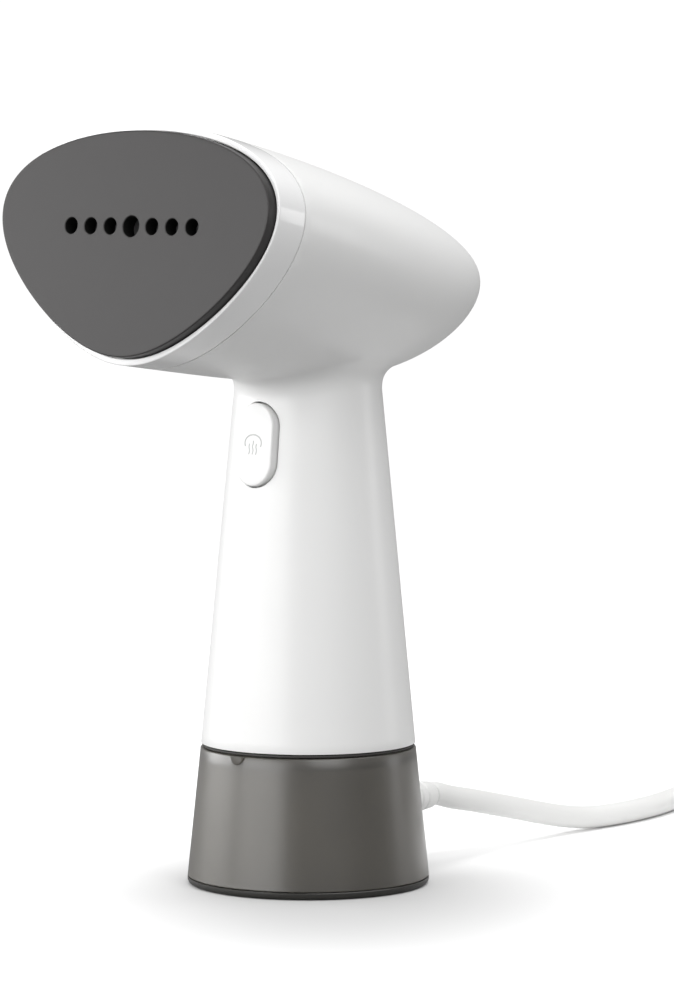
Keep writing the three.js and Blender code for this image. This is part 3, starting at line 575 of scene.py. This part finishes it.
def slice_off(piece, place, direction):
    """Cuts the piece with a plane and drops what lies on the direction's side, leaving it open."""
    work = bmesh.new()
    work.from_mesh(piece.data)
    everything = [*work.verts, *work.edges, *work.faces]
    bmesh.ops.bisect_plane(work, geom=everything, plane_co=place, plane_no=direction, dist=1e-6,
                           clear_outer=True)
    work.to_mesh(piece.data)
    work.free()


def combine(piece, tool, operation="DIFFERENCE"):
    """Cuts the closed tool out of the piece, or joins it on, and drops the tool."""
    change = piece.modifiers.new("combine", "BOOLEAN")
    change.operation = operation
    change.solver = "EXACT"
    change.object = tool
    crease(piece)
    bpy.data.objects.remove(tool)


def thicken(piece, wall):
    """Gives an open skin a wall that grows inwards from it."""
    change = piece.modifiers.new("wall", "SOLIDIFY")
    change.thickness = wall
    change.offset = -1
    change.use_even_offset = True
    crease(piece)


def box_tool(low, high):
    """A closed block between two corners."""
    (x0, y0, z0), (x1, y1, z1) = low, high
    ring = np.array([(x0, y0), (x1, y0), (x1, y1), (x0, y1)])
    rings = np.stack([np.column_stack([ring, np.full(4, z)]) for z in (z0, z1)])
    return ring_stack("block", rings, smooth=False)


slice_off(shell, from_head(np.array([0, SHELL_FRONT, 0])), -head_axes[1])
thicken(shell, SHELL_WALL)
combine(shell, box_tool((-0.05, -0.05, 0.030), (0.05, 0.05, SEAM_HEIGHT)))

# The button's hole: a straight-sided slot with round ends, square to the handle's front.
BUTTON_HALF_WIDTH = 0.0068
BUTTON_HALF_LENGTH = 0.012
BUTTON_PLAY = 0.0005
button_place = np.array([0, -0.02297, 0.1295])
button_lean = math.radians(5.44)
button_axes = np.array([[1, 0, 0], [0, math.cos(button_lean), -math.sin(button_lean)],
                        [0, math.sin(button_lean), math.cos(button_lean)]])


def slot_ring(inset, depth):
    """A slot outline in the button's frame, moved inwards by inset: two half circles of radius
    half width - inset whose centres lie half length - half width above and below the middle."""
    a = np.linspace(0, math.pi, 24)
    side_steps = np.linspace(-1, 1, 14)[1:-1]
    side = np.ones(len(side_steps))
    reach = BUTTON_HALF_LENGTH - BUTTON_HALF_WIDTH
    radius = BUTTON_HALF_WIDTH - inset
    x = radius * np.concatenate([np.cos(a), -side, np.cos(a + math.pi), side])
    z = np.concatenate([reach + radius * np.sin(a), -reach * side_steps,
                        -reach + radius * np.sin(a + math.pi), reach * side_steps])
    return np.stack(np.broadcast_arrays(x, depth, z), axis=-1)


def from_button(local):
    """Points given as (across, depth behind the handle's surface, up) in the row frame."""
    return button_place + local @ button_axes


slot_rings = np.stack([slot_ring(-BUTTON_PLAY, 0.008), slot_ring(-BUTTON_PLAY, -0.006)])
slot_tool = ring_stack("slot_tool", from_button(slot_rings))
weld(slot_tool)
combine(shell, slot_tool)


def round_edges(piece, width, segments=2, degrees=50.0):
    """Rounds every edge that is sharper than the angle."""
    change = piece.modifiers.new("round", "BEVEL")
    change.width = width
    change.segments = segments
    change.limit_method = "ANGLE"
    change.angle_limit = math.radians(degrees)
    change.miter_outer = "MITER_ARC"
    crease(piece)


SHELL_ROUND = 0.00022
round_edges(shell, SHELL_ROUND)
white_satin = moulded("white_satin", (0.83, 0.83, 0.825), (0.80, 0.80, 0.795), 0.33, spread=0.08, grain=0.12)
dress(shell, white_satin, "steamer")
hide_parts("main_shell")


# ---------------- front bezel
# A glossy white ring clipped into the head's mouth. Its outside carries on the head's egg, its
# front edge is rounded, and a pocket 2 mm deep inside that edge seats the steam plate. A thinner
# spigot behind it goes into the head.
BEZEL_DEPTH = 0.0115
BEZEL_FRONT_ROUND = 0.0004
PLATE_SIDE_BORDER = 0.0012
PLATE_TOP_BORDER = 0.00205
POCKET_DEPTH = 0.002
POCKET_PLAY = 0.0003
POCKET_LEDGE = 0.0019
SPIGOT_END = 0.015
SPIGOT_OUTER = 0.0027
SPIGOT_INNER = 0.0040
face_turns = np.linspace(0, 2 * math.pi, 288, endpoint=False)


def egg_ring(depth, inset=0.0, border=(0.0, 0.0), at=None):
    """The head's section as a ring in the head's frame: x = w cos(a) (1 + taper sin(a)) / widest and
    z = middle + half height sin(a), less a border at the sides and at top and keel, then moved
    inwards by inset along its own normal. It lies at depth at, or at its own depth."""
    half, top, keel, taper, rise = egg(depth)
    half, top, keel = half - border[0], top - border[1], keel - border[1]
    a = face_turns
    x = half / egg_widest(taper) * np.cos(a) * (1 + taper * np.sin(a))
    z = rise + (top - keel) / 2 + (top + keel) / 2 * np.sin(a)
    ahead = np.stack([np.roll(x, -1) - np.roll(x, 1), np.roll(z, -1) - np.roll(z, 1)], axis=1)
    ahead /= np.linalg.norm(ahead, axis=1, keepdims=True)
    x, z = x - inset * ahead[:, 1], z + inset * ahead[:, 0]
    return np.stack(np.broadcast_arrays(x, depth if at is None else at, z), axis=-1)


def hoop(name, rings):
    """A closed skin through rings (rings, points, 3) whose last row joins the first."""
    piece = mesh_piece(name, rings, grid_faces(*rings.shape[:2], wrap_rows=True))
    weld(piece)
    return piece


plate_border = (PLATE_SIDE_BORDER, PLATE_TOP_BORDER)
front_round = np.radians(np.linspace(0, 90, 7))
bezel_rings = [egg_ring(BEZEL_DEPTH, 0.0003), egg_ring(BEZEL_DEPTH - 0.0001, 0.0001),
               egg_ring(BEZEL_DEPTH - 0.0003)]
bezel_rings += [egg_ring(d) for d in np.linspace(BEZEL_DEPTH - 0.0006, BEZEL_FRONT_ROUND + 0.0002, 9)]
bezel_rings += [egg_ring(0.0, BEZEL_FRONT_ROUND * (1 - math.cos(t)),
                         at=BEZEL_FRONT_ROUND * (1 - math.sin(t))) for t in front_round]
pocket_steps = ((-POCKET_PLAY - 0.00015, 0.0), (-POCKET_PLAY, 0.00015), (-POCKET_PLAY, POCKET_DEPTH),
                (POCKET_LEDGE, POCKET_DEPTH), (POCKET_LEDGE, BEZEL_DEPTH))
bezel_rings += [egg_ring(0.0, inset, plate_border, at=depth) for inset, depth in pocket_steps]
spigot_steps = ((SPIGOT_INNER, SPIGOT_END), (SPIGOT_OUTER, SPIGOT_END), (SPIGOT_OUTER, BEZEL_DEPTH))
bezel_rings += [egg_ring(BEZEL_DEPTH, inset, at=depth) for inset, depth in spigot_steps]
bezel = hoop("front_bezel_ring", from_head(np.stack(bezel_rings)))
crease(bezel, 40)
white_gloss = moulded("white_gloss", (0.86, 0.86, 0.86), (0.84, 0.84, 0.84), 0.10, spread=0.03, grain=0.03)
dress(bezel, white_gloss, "steamer")
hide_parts("front_bezel")


# ---------------- steam plate
# A cast aluminium plate with a dark ceramic coat, 3 mm proud of the bezel, with a rounded edge.
# Seven steam holes run across it, a larger one in the middle, each with a broken edge.
PLATE_PROUD = 0.0030
PLATE_ROUND = 0.0004
SMALL_HOLE = 0.00235
BIG_HOLE = 0.0030
HOLE_CHAMFER = 0.0002
HOLE_PITCH = 0.0074
CENTRE_PITCH = 0.0078
plate_rings = [egg_ring(0.0, 0.0006, plate_border, at=0.0017), egg_ring(0.0, 0.0, plate_border, at=0.0013)]
plate_rings += [egg_ring(0.0, 0.0, plate_border, at=d) for d in (-0.0005, PLATE_ROUND - PLATE_PROUD)]
plate_rings += [egg_ring(0.0, PLATE_ROUND * (1 - math.cos(t)), plate_border,
                         at=-PLATE_PROUD + PLATE_ROUND * (1 - math.sin(t))) for t in front_round[1:]]
plate_rings += [egg_ring(0.0, PLATE_ROUND + 0.0004, plate_border, at=-PLATE_PROUD)]
plate = ring_stack("steam_plate_casting", from_head(np.stack(plate_rings)))
weld(plate)

hole_steps = np.arange(-3, 4)
hole_places = np.sign(hole_steps) * (CENTRE_PITCH + HOLE_PITCH * (np.abs(hole_steps) - 1))
for across, number in zip(hole_places, hole_steps):
    hole = SMALL_HOLE if number else BIG_HOLE
    wide = hole + HOLE_CHAMFER
    profile = [(0, -0.003), (hole, -0.003), (hole, PLATE_PROUD - HOLE_CHAMFER), (wide, PLATE_PROUD),
               (wide, PLATE_PROUD + 0.001), (0, PLATE_PROUD + 0.001)]
    hole_tool = turned_piece("hole_tool", profile, 48, lambda rings: from_head(
        np.stack([rings[..., 0] + across, -rings[..., 2], rings[..., 1]], axis=-1)))
    combine(plate, hole_tool)
plate_coat = moulded("ceramic_coat", (0.037, 0.035, 0.035), (0.042, 0.040, 0.040), 0.36, grain=0.5,
                     grain_scale=3200.0, Specular_IOR_Level=0.25)
dress(plate, plate_coat, "steamer")

# The walls of the holes have no coat. Their near-black, dull colour is painted shade, the shade deep inside
# the holes where lamp light would otherwise reach.
hole_painted_shade = moulded("hole_painted_shade", (0.006, 0.006, 0.006), (0.010, 0.010, 0.009), 0.8, grain=0.5,
                     Specular_IOR_Level=0.1)
plate.data.materials.append(hole_painted_shade)
# Painted shade: the faces on the holes' walls take the near-black finish.
middles = np.zeros(len(plate.data.polygons) * 3)
plate.data.polygons.foreach_get("center", middles)
middles = (middles.reshape(-1, 3) - head_place) @ head_axes.T
inner = (middles[:, 1] > HOLE_CHAMFER + 0.0001 - PLATE_PROUD) & (middles[:, 1] < 0.0016)
off_centre = np.min(np.hypot(middles[:, :1] - hole_places, middles[:, 2:]), axis=1)
painted_shade_walls = inner & (off_centre < BIG_HOLE * 1.05)
plate.data.polygons.foreach_set("material_index", painted_shade_walls.astype(np.int32))
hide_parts("steam_plate")


# ---------------- steam button
# A slot-shaped push button of white satin plastic in the handle's front, 1.6 mm proud, with a
# soft rounded edge. A flange behind the wall keeps it in.
BUTTON_PROUD = 0.0016
BUTTON_ROUND = 0.0006
BUTTON_CROWN = 0.00018
button_round = np.radians(np.linspace(0, 90, 7))
button_rings = [slot_ring(-0.0017, 0.00465), slot_ring(-0.0017, 0.00345), slot_ring(0.0, 0.0034),
                slot_ring(0.0, 0.0010)]
button_rings += [slot_ring(BUTTON_ROUND * (1 - math.cos(t)),
                           BUTTON_CROWN - BUTTON_PROUD + BUTTON_ROUND * (1 - math.sin(t)))
                 for t in button_round]
for share in np.linspace(0, 1, 9)[1:]:
    inset = BUTTON_ROUND + (BUTTON_HALF_WIDTH - BUTTON_ROUND) * share
    button_rings.append(slot_ring(inset, BUTTON_CROWN * (1 - share) ** 2 - BUTTON_PROUD))
button = ring_stack("steam_button", from_button(np.stack(button_rings)), cap_last=False)
weld(button, 1e-6)
crease(button, 40)
dress(button, white_satin, "button")
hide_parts("trigger_button")

# Its mark is an arch over three short strokes of grey ink, printed a hair above the surface.
INK_WIDTH = 0.00042
INK_PROUD = 0.00003
INK_SIDES = 10


def printed_line(path):
    """A flattened round ribbon along a path (N, 2) on the button: half the ink's width across the
    path and INK_PROUD above the face."""
    ahead = np.gradient(path, axis=0)
    ahead /= np.linalg.norm(ahead, axis=1, keepdims=True)
    beside = np.stack([ahead[:, 1], -ahead[:, 0]], axis=1)
    a = np.linspace(0, 2 * math.pi, INK_SIDES, endpoint=False)
    flat = path[:, None] + INK_WIDTH / 2 * np.cos(a)[:, None] * beside[:, None]
    depth = -BUTTON_PROUD - INK_PROUD * np.sin(a) + BUTTON_CROWN * 0.02
    return np.stack(np.broadcast_arrays(flat[..., 0], depth, flat[..., 1]), axis=-1)


arch_turn = np.radians(np.linspace(-24, 204, 40))
ink_paths = [np.stack([0.0031 * np.cos(arch_turn), 0.0004 + 0.0024 * np.sin(arch_turn)], axis=1)]
for stroke, top in ((-0.0013, 0.0002), (0.0, 0.0011), (0.0013, 0.0002)):
    rise = np.linspace(-0.0029, top, 14)
    ink_paths.append(np.stack([stroke + 0.00014 * np.sin(rise * 2600), rise], axis=1))
ink_points, ink_faces = [], []
for path in ink_paths:
    line = from_button(printed_line(path))
    offset = sum(len(part) for part in ink_points)
    ink_faces += (grid_faces(*line.shape[:2]) + offset).tolist()
    last = offset + (len(line) - 1) * INK_SIDES
    ink_faces += [list(range(offset, offset + INK_SIDES))[::-1], list(range(last, last + INK_SIDES))]
    ink_points.append(line.reshape(-1, 3))
mark = mesh_piece("button_mark", np.concatenate(ink_points), ink_faces)
weld(mark, 1e-8)
crease(mark, 60)
grey_ink = moulded("grey_ink", (0.46, 0.46, 0.46), (0.52, 0.52, 0.52), 0.5, grain=0.2)
dress(mark, grey_ink, "button")


# ---------------- heater, switch and pump
# The working parts inside the housing keep their engineered shapes: a cast boiler with its
# element, gasket, cut-outs and shield, the switch and its board, the pump, hoses and wires.
cast_aluminium = moulded("cast_aluminium", (0.11, 0.11, 0.11), (0.08, 0.08, 0.08), 0.5, spread=0.25,
                         grain=0.8, grain_scale=900.0, Metallic=1.0)
bright_steel = moulded("bright_steel", (0.60, 0.60, 0.61), (0.52, 0.52, 0.53), 0.25, spread=0.12,
                       Metallic=1.0)
turned_brass = moulded("turned_brass", (0.72, 0.53, 0.22), (0.60, 0.42, 0.16), 0.3, spread=0.15,
                       Metallic=1.0)
enamelled_wire = moulded("enamelled_wire", (0.42, 0.17, 0.07), (0.30, 0.11, 0.05), 0.35, grain=0.9,
                         grain_scale=1400.0, Metallic=0.6)
black_rubber = moulded("black_rubber", (0.040, 0.039, 0.037), (0.050, 0.048, 0.045), 0.6, grain=0.4)
red_silicone = moulded("red_silicone", (0.36, 0.07, 0.05), (0.30, 0.05, 0.04), 0.55, grain=0.3)
black_moulding = moulded("black_moulding", (0.024, 0.024, 0.025), (0.032, 0.032, 0.033), 0.45, grain=0.5)
plain_moulding = moulded("plain_moulding", (0.74, 0.74, 0.72), (0.70, 0.70, 0.68), 0.45, grain=0.3)
solder_mask = moulded("solder_mask", (0.03, 0.18, 0.07), (0.02, 0.13, 0.05), 0.3, spread=0.1, grain=0.3)
milky_hose = moulded("milky_hose", (0.70, 0.71, 0.69), (0.62, 0.63, 0.61), 0.35, Transmission_Weight=0.35)
inner_finish = {
    cast_aluminium: ("cast_aluminium", ["boiler"]),
    bright_steel: ("steel", ["heating_element", "thermal_fuse", "dock_screw_l", "dock_screw_r",
                             "clamp_screw_l", "clamp_screw_r"]),
    turned_brass: ("brass", ["feed_nozzle"]),
    enamelled_wire: ("copper_winding", ["pump_coil"]),
    black_rubber: ("dark_rubber", ["pump_mount_lower", "pump_mount_upper", "heater_wire_l"]),
    red_silicone: ("red_silicone", ["plate_gasket", "heater_wire_r"]),
    black_moulding: ("black_plastic", ["heat_shield", "thermostat", "microswitch", "cord_clamp"]),
    plain_moulding: ("white_plastic", ["pump_barrel", "terminal_block", "suction_filter"]),
    solder_mask: ("board_green", ["circuit_board"]),
    milky_hose: ("clear_hose", ["suction_hose", "delivery_hose"]),
    white_rubber: ("white_rubber", ["inner_lead"]),
}
for paint, (slot, names) in inner_finish.items():
    for name in names:
        dress(nodes[name], paint)


# ---------------- dock and spine
# A white moulding screwed into the handle's foot. Its plate carries the inlet pipe, and its
# spine runs down a recess in the tank's back, flush with it, to the lead's exit.
TANK_FOOT = 0.0354
TANK_RIM = 0.0021
TANK_SLOPE = 0.10279
DOCK_THICKNESS = 0.003
SPINE_HALF_WIDTH = 0.008
SPINE_FRONT = 0.0175
SPINE_FOOT = 0.0115
EXIT_HOLE = 0.0053
PIPE_HOLE = 0.0031
SCREW_HOLE = 0.0019
SCREW_REACH = 0.018
SEAL_TOP = SEAM_HEIGHT - 0.0003


def tank_radius(height):
    """The tank's outer radius: foot radius less slope times the height above the base cap's rim."""
    return TANK_FOOT - (height - TANK_RIM) * TANK_SLOPE


def round_tool(radius, low, high, place=(0.0, 0.0), sides=96):
    """A closed upright cylinder, or a cone where radius is a pair."""
    first, last = radius if isinstance(radius, tuple) else (radius, radius)
    rings = turned_rings([(first, low), (last, high)], sides) + (*place, 0.0)
    return ring_stack("round", rings)


dock_top = SEAM_HEIGHT + DOCK_THICKNESS
dock_radius = HANDLE_FOOT - DOCK_THICKNESS * HANDLE_SLOPE - SHELL_WALL - 0.0003
lead_column = (SPINE_FRONT + HANDLE_FOOT - 0.0004) / 2
dock = box_tool((-SPINE_HALF_WIDTH, SPINE_FRONT, SPINE_FOOT), (SPINE_HALF_WIDTH, 0.040, SEAL_TOP))
combine(dock, round_tool((tank_radius(0.0), tank_radius(SEAL_TOP)), 0.0, SEAL_TOP, sides=256), "INTERSECT")
round_edges(dock, 0.0005, 3, 60)
combine(dock, box_tool((-SPINE_HALF_WIDTH, SPINE_FRONT, SEAL_TOP - 0.002),
                       (SPINE_HALF_WIDTH, dock_radius - 0.0002, dock_top - 0.0005)), "UNION")
combine(dock, round_tool(dock_radius, SEAM_HEIGHT, dock_top, sides=192), "UNION")

# The lead's channel and exit hole, the pipe's hole and two screw holes.
combine(dock, box_tool((-0.004, lead_column - 0.005, exit_height - 0.004),
                       (0.004, lead_column + 0.004, dock_top + 0.001)))
exit_profile = [(0, lead_column), (EXIT_HOLE, lead_column), (EXIT_HOLE, 0.045), (0, 0.045)]
combine(dock, turned_piece("exit_tool", exit_profile, 64, along_y(0.0, exit_height)))
combine(dock, round_tool(PIPE_HOLE, 0.040, 0.046))
for side in (-1, 1):
    combine(dock, round_tool(SCREW_HOLE, 0.040, 0.046, (side * SCREW_REACH, 0.0)))
dock.name = "dock_and_spine"
dress(dock, white_satin, "steamer")
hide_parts("dock_base")

# A flat rubber ring lies between dock and tank, open where the spine passes.
seal_low = SEAL_TOP - 0.0007
seal_profile = [(0.02735, seal_low + 0.0001), (0.02745, seal_low), (0.03085, seal_low),
                (0.03105, seal_low + 0.0002), (0.03105, SEAL_TOP - 0.0002), (0.03085, SEAL_TOP),
                (0.02745, SEAL_TOP), (0.02735, SEAL_TOP - 0.0001)]
seal = hoop("dock_seal_ring", turned_rings(seal_profile, 256))
combine(seal, box_tool((-0.0083, 0.010, 0.040), (0.0083, 0.050, 0.042)))
dress(seal, black_rubber, "steamer")
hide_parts("dock_seal")

# The inlet pipe hangs through the dock into the tank's coupling.
pipe_low, pipe_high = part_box("inlet_pipe")
pipe_profile = [(0.0014, pipe_low.z), (0.0024, pipe_low.z), (0.0028, pipe_low.z + 0.0006),
                (0.0028, pipe_high.z), (0.0014, pipe_high.z)]
pipe = hoop("inlet_spigot", turned_rings(pipe_profile, 48))
crease(pipe)
dress(pipe, plain_moulding, "steamer")
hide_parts("inlet_pipe")


# ---------------- water tank
# A lift-off cup of frosted smoky plastic under the handle: one conical wall with a deck near its
# top, a coupling neck and a filler cup in the deck, a recess for the spine, and a key in front.
TANK_WALL = 0.0019
SPINE_PLAY = 0.0005
CUP_OUTER = 0.0105
CUP_BORE = 0.0090
FILLER_HOLE = 0.0070
KEY_HALF_WIDTH = 0.0026
KEY_DROP = 0.0025
TANK_TOP = SEAL_TOP - 0.0010
DECK_TOP = TANK_TOP - 0.0020
DECK_LOW = DECK_TOP - 0.0018
CUP_FLOOR = DECK_TOP - 0.0057
wall_low = TANK_RIM + 0.0003
filler_place = (-0.014, 0.007)
outer_heights = np.linspace(wall_low + 0.0002, TANK_TOP - 0.0003, 12)
inner_heights = np.linspace(DECK_LOW - 0.0004, wall_low, 10)
tank_profile = np.concatenate([
    [(tank_radius(wall_low) - 0.0002, wall_low)],
    np.stack([tank_radius(outer_heights), outer_heights], axis=1),
    [(tank_radius(TANK_TOP) - 0.0001, TANK_TOP - 0.0001), (tank_radius(TANK_TOP) - 0.0003, TANK_TOP),
     (tank_radius(TANK_TOP) - 0.0017, TANK_TOP), (tank_radius(TANK_TOP) - 0.0019, TANK_TOP - 0.0002),
     (tank_radius(DECK_TOP) - 0.0019, DECK_TOP + 0.0003), (tank_radius(DECK_TOP) - 0.0022, DECK_TOP),
     (0.0063, DECK_TOP), (0.0060, DECK_TOP - 0.0003), (0.0060, DECK_LOW - 0.0033),
     (0.0062, DECK_LOW - 0.0035), (0.0076, DECK_LOW - 0.0035), (0.0078, DECK_LOW - 0.0033),
     (0.0078, DECK_LOW - 0.0003), (0.0081, DECK_LOW), (tank_radius(DECK_LOW) - 0.0023, DECK_LOW)],
    np.stack([tank_radius(inner_heights) - TANK_WALL, inner_heights], axis=1)])
tank = hoop("tank_cup", turned_rings(tank_profile, 200))

# The recess and the filler cup get their walls first. Then their hollows are cut.
recess_half = SPINE_HALF_WIDTH + SPINE_PLAY
recess_front = SPINE_FRONT - SPINE_PLAY
recess_floor = SPINE_FOOT - SPINE_PLAY
niche = box_tool((-recess_half - TANK_WALL, recess_front - TANK_WALL, recess_floor - TANK_WALL),
                 (recess_half + TANK_WALL, 0.05, DECK_LOW + 0.0006))
niche_radii = (tank_radius(0.0) - 0.0006, tank_radius(TANK_TOP) - 0.0006)
combine(niche, round_tool(niche_radii, 0.0, TANK_TOP, sides=200), "INTERSECT")
combine(tank, niche, "UNION")
combine(tank, round_tool(CUP_OUTER, CUP_FLOOR - 0.0015, DECK_LOW + 0.0006, filler_place), "UNION")
combine(tank, box_tool((-recess_half, recess_front, recess_floor), (recess_half, 0.05, TANK_TOP + 0.001)))
combine(tank, round_tool(CUP_BORE, CUP_FLOOR, TANK_TOP + 0.001, filler_place))
combine(tank, round_tool(FILLER_HOLE, CUP_FLOOR - 0.003, CUP_FLOOR + 0.001, filler_place))

# The key is a small round-cornered tongue: its edge drops by 1 - |x|^2.6 of its full drop.
key_front = -tank_radius(0.038) - 0.00055
key_across = np.linspace(-1, 1, 15)
key_x = KEY_HALF_WIDTH * key_across
key_z = -KEY_DROP * (1 - np.abs(key_across) ** 2.6)
key_rings = [np.column_stack([key_x * scale, np.full(len(key_x), y), TANK_TOP + key_z * scale])
             for y, scale in ((key_front + 0.0018, 1.0), (key_front + 0.0002, 1.0), (key_front, 0.88))]
key = ring_stack("key", np.stack(key_rings))
weld(key)
combine(tank, key, "UNION")

smoke = bpy.data.materials.new("frosted_smoke")
smoke.use_nodes = True
smoke_tree = smoke.node_tree
smoke_skin = add_node(smoke_tree, "ShaderNodeGroup", {
    "Gloss": 0.42, "Gloss Spread": 0.02, "Grain Depth": 0.08, "Grain Scale": 1600.0}, node_tree=skin)
feed(smoke_tree, smoke_tree.nodes["Principled BSDF"], {
    "Base Color": (0.31, 0.29, 0.255, 1), "Transmission Weight": 0.85, "IOR": 1.5, "Coat Weight": 0.8,
    "Coat Roughness": 0.28, "Roughness": smoke_skin.outputs["Roughness"],
    "Normal": smoke_skin.outputs["Normal"]})
dress(tank, smoke, "tank")
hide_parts("water_tank")

# The base cap is welded into the wall's lower end and stands on the table.
cap_plug = tank_radius(0.005) - TANK_WALL - 0.0003
CAP_ROUND = 0.0016
cap_turn = np.radians(np.linspace(0, 90, 9))
cap_radii = TANK_FOOT - CAP_ROUND + CAP_ROUND * np.sin(cap_turn)
cap_profile = np.concatenate([
    [(0, 0)], np.stack([cap_radii, CAP_ROUND * (1 - np.cos(cap_turn))], axis=1),
    [(TANK_FOOT, TANK_RIM - 0.00015), (TANK_FOOT - 0.00015, TANK_RIM), (cap_plug, TANK_RIM),
     (cap_plug, 0.0047), (cap_plug - 0.0003, 0.0050), (0, 0.0050)]])
base_cap = turned_piece("tank_base_cap", cap_profile, 200)
crease(base_cap)
smoke_cap = smoke.copy()
smoke_cap.name = "dense_smoke"
smoke_cap.node_tree.nodes["Principled BSDF"].inputs["Base Color"].default_value = (0.10, 0.095, 0.082, 1)
dress(base_cap, smoke_cap, "tank")
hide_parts("tank_floor")

# A rubber bush seals the inlet pipe, and a soft stopper with a pull tab closes the filler hole.
bush_profile = [(0.0032, DECK_LOW - 0.002), (0.0057, DECK_LOW - 0.002), (0.0057, DECK_TOP + 0.0003),
                (0.0070, DECK_TOP + 0.0003), (0.0070, DECK_TOP + 0.0012), (0.0067, DECK_TOP + 0.0015),
                (0.0036, DECK_TOP + 0.0015), (0.0032, DECK_TOP + 0.0011)]
bush = hoop("coupling_bush", turned_rings(bush_profile, 64))
crease(bush)
dress(bush, black_rubber, "tank")
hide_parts("coupling_seal")

stopper_profile = [(0, CUP_FLOOR - 0.0037), (0.0061, CUP_FLOOR - 0.0037), (0.0067, CUP_FLOOR - 0.0029),
                   (0.0067, CUP_FLOOR + 0.0003), (0.0079, CUP_FLOOR + 0.0003), (0.0079, CUP_FLOOR + 0.0013),
                   (0.0075, CUP_FLOOR + 0.0017), (0, CUP_FLOOR + 0.0017)]
stopper = turned_piece("soft_stopper", stopper_profile, 72, lambda rings: rings + (*filler_place, 0.0))
tab = box_tool((filler_place[0] - 0.004, filler_place[1] - 0.0008, CUP_FLOOR + 0.001),
               (filler_place[0] + 0.004, filler_place[1] + 0.0008, CUP_FLOOR + 0.0034))
round_edges(tab, 0.0006, 3)
combine(stopper, tab, "UNION")
dress(stopper, black_rubber, "stopper")
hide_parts("filler_stopper")

# A bent tube carries water up from a gauze filter near the tank's front.
suction_top = DECK_LOW - 0.0023
suction_line = smooth_route([
    (0, 0, suction_top), (0, -0.0016, suction_top - 0.0034), (0, -0.009, suction_top - 0.007),
    (0, -0.017, suction_top - 0.010), (0, -0.022, 0.019), (0, -0.0246, 0.013), (0, -0.0246, 0.0104)], 0.0008)


def hollow_tube(name, line, outer, bore, sides=32):
    """A tube wall along a line in a plane of constant x: across is x itself, and rings run out along
    the outside and back along the bore."""
    ahead = np.gradient(line, axis=0)
    ahead /= np.linalg.norm(ahead, axis=1, keepdims=True)
    across = np.broadcast_to([1.0, 0.0, 0.0], line.shape)
    up = np.cross(ahead, across)
    a = np.linspace(0, 2 * math.pi, sides, endpoint=False)[None, :, None]
    spoke = np.cos(a) * across[:, None] + np.sin(a) * up[:, None]
    rings = np.concatenate([line[:, None] + outer * spoke, (line[:, None] + bore * spoke)[::-1]])
    return hoop(name, rings)


suction = hollow_tube("suction_pipe", suction_line, 0.0023, 0.0013)
crease(suction, 50)
dress(suction, milky_hose, "tank")
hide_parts("suction_tube")
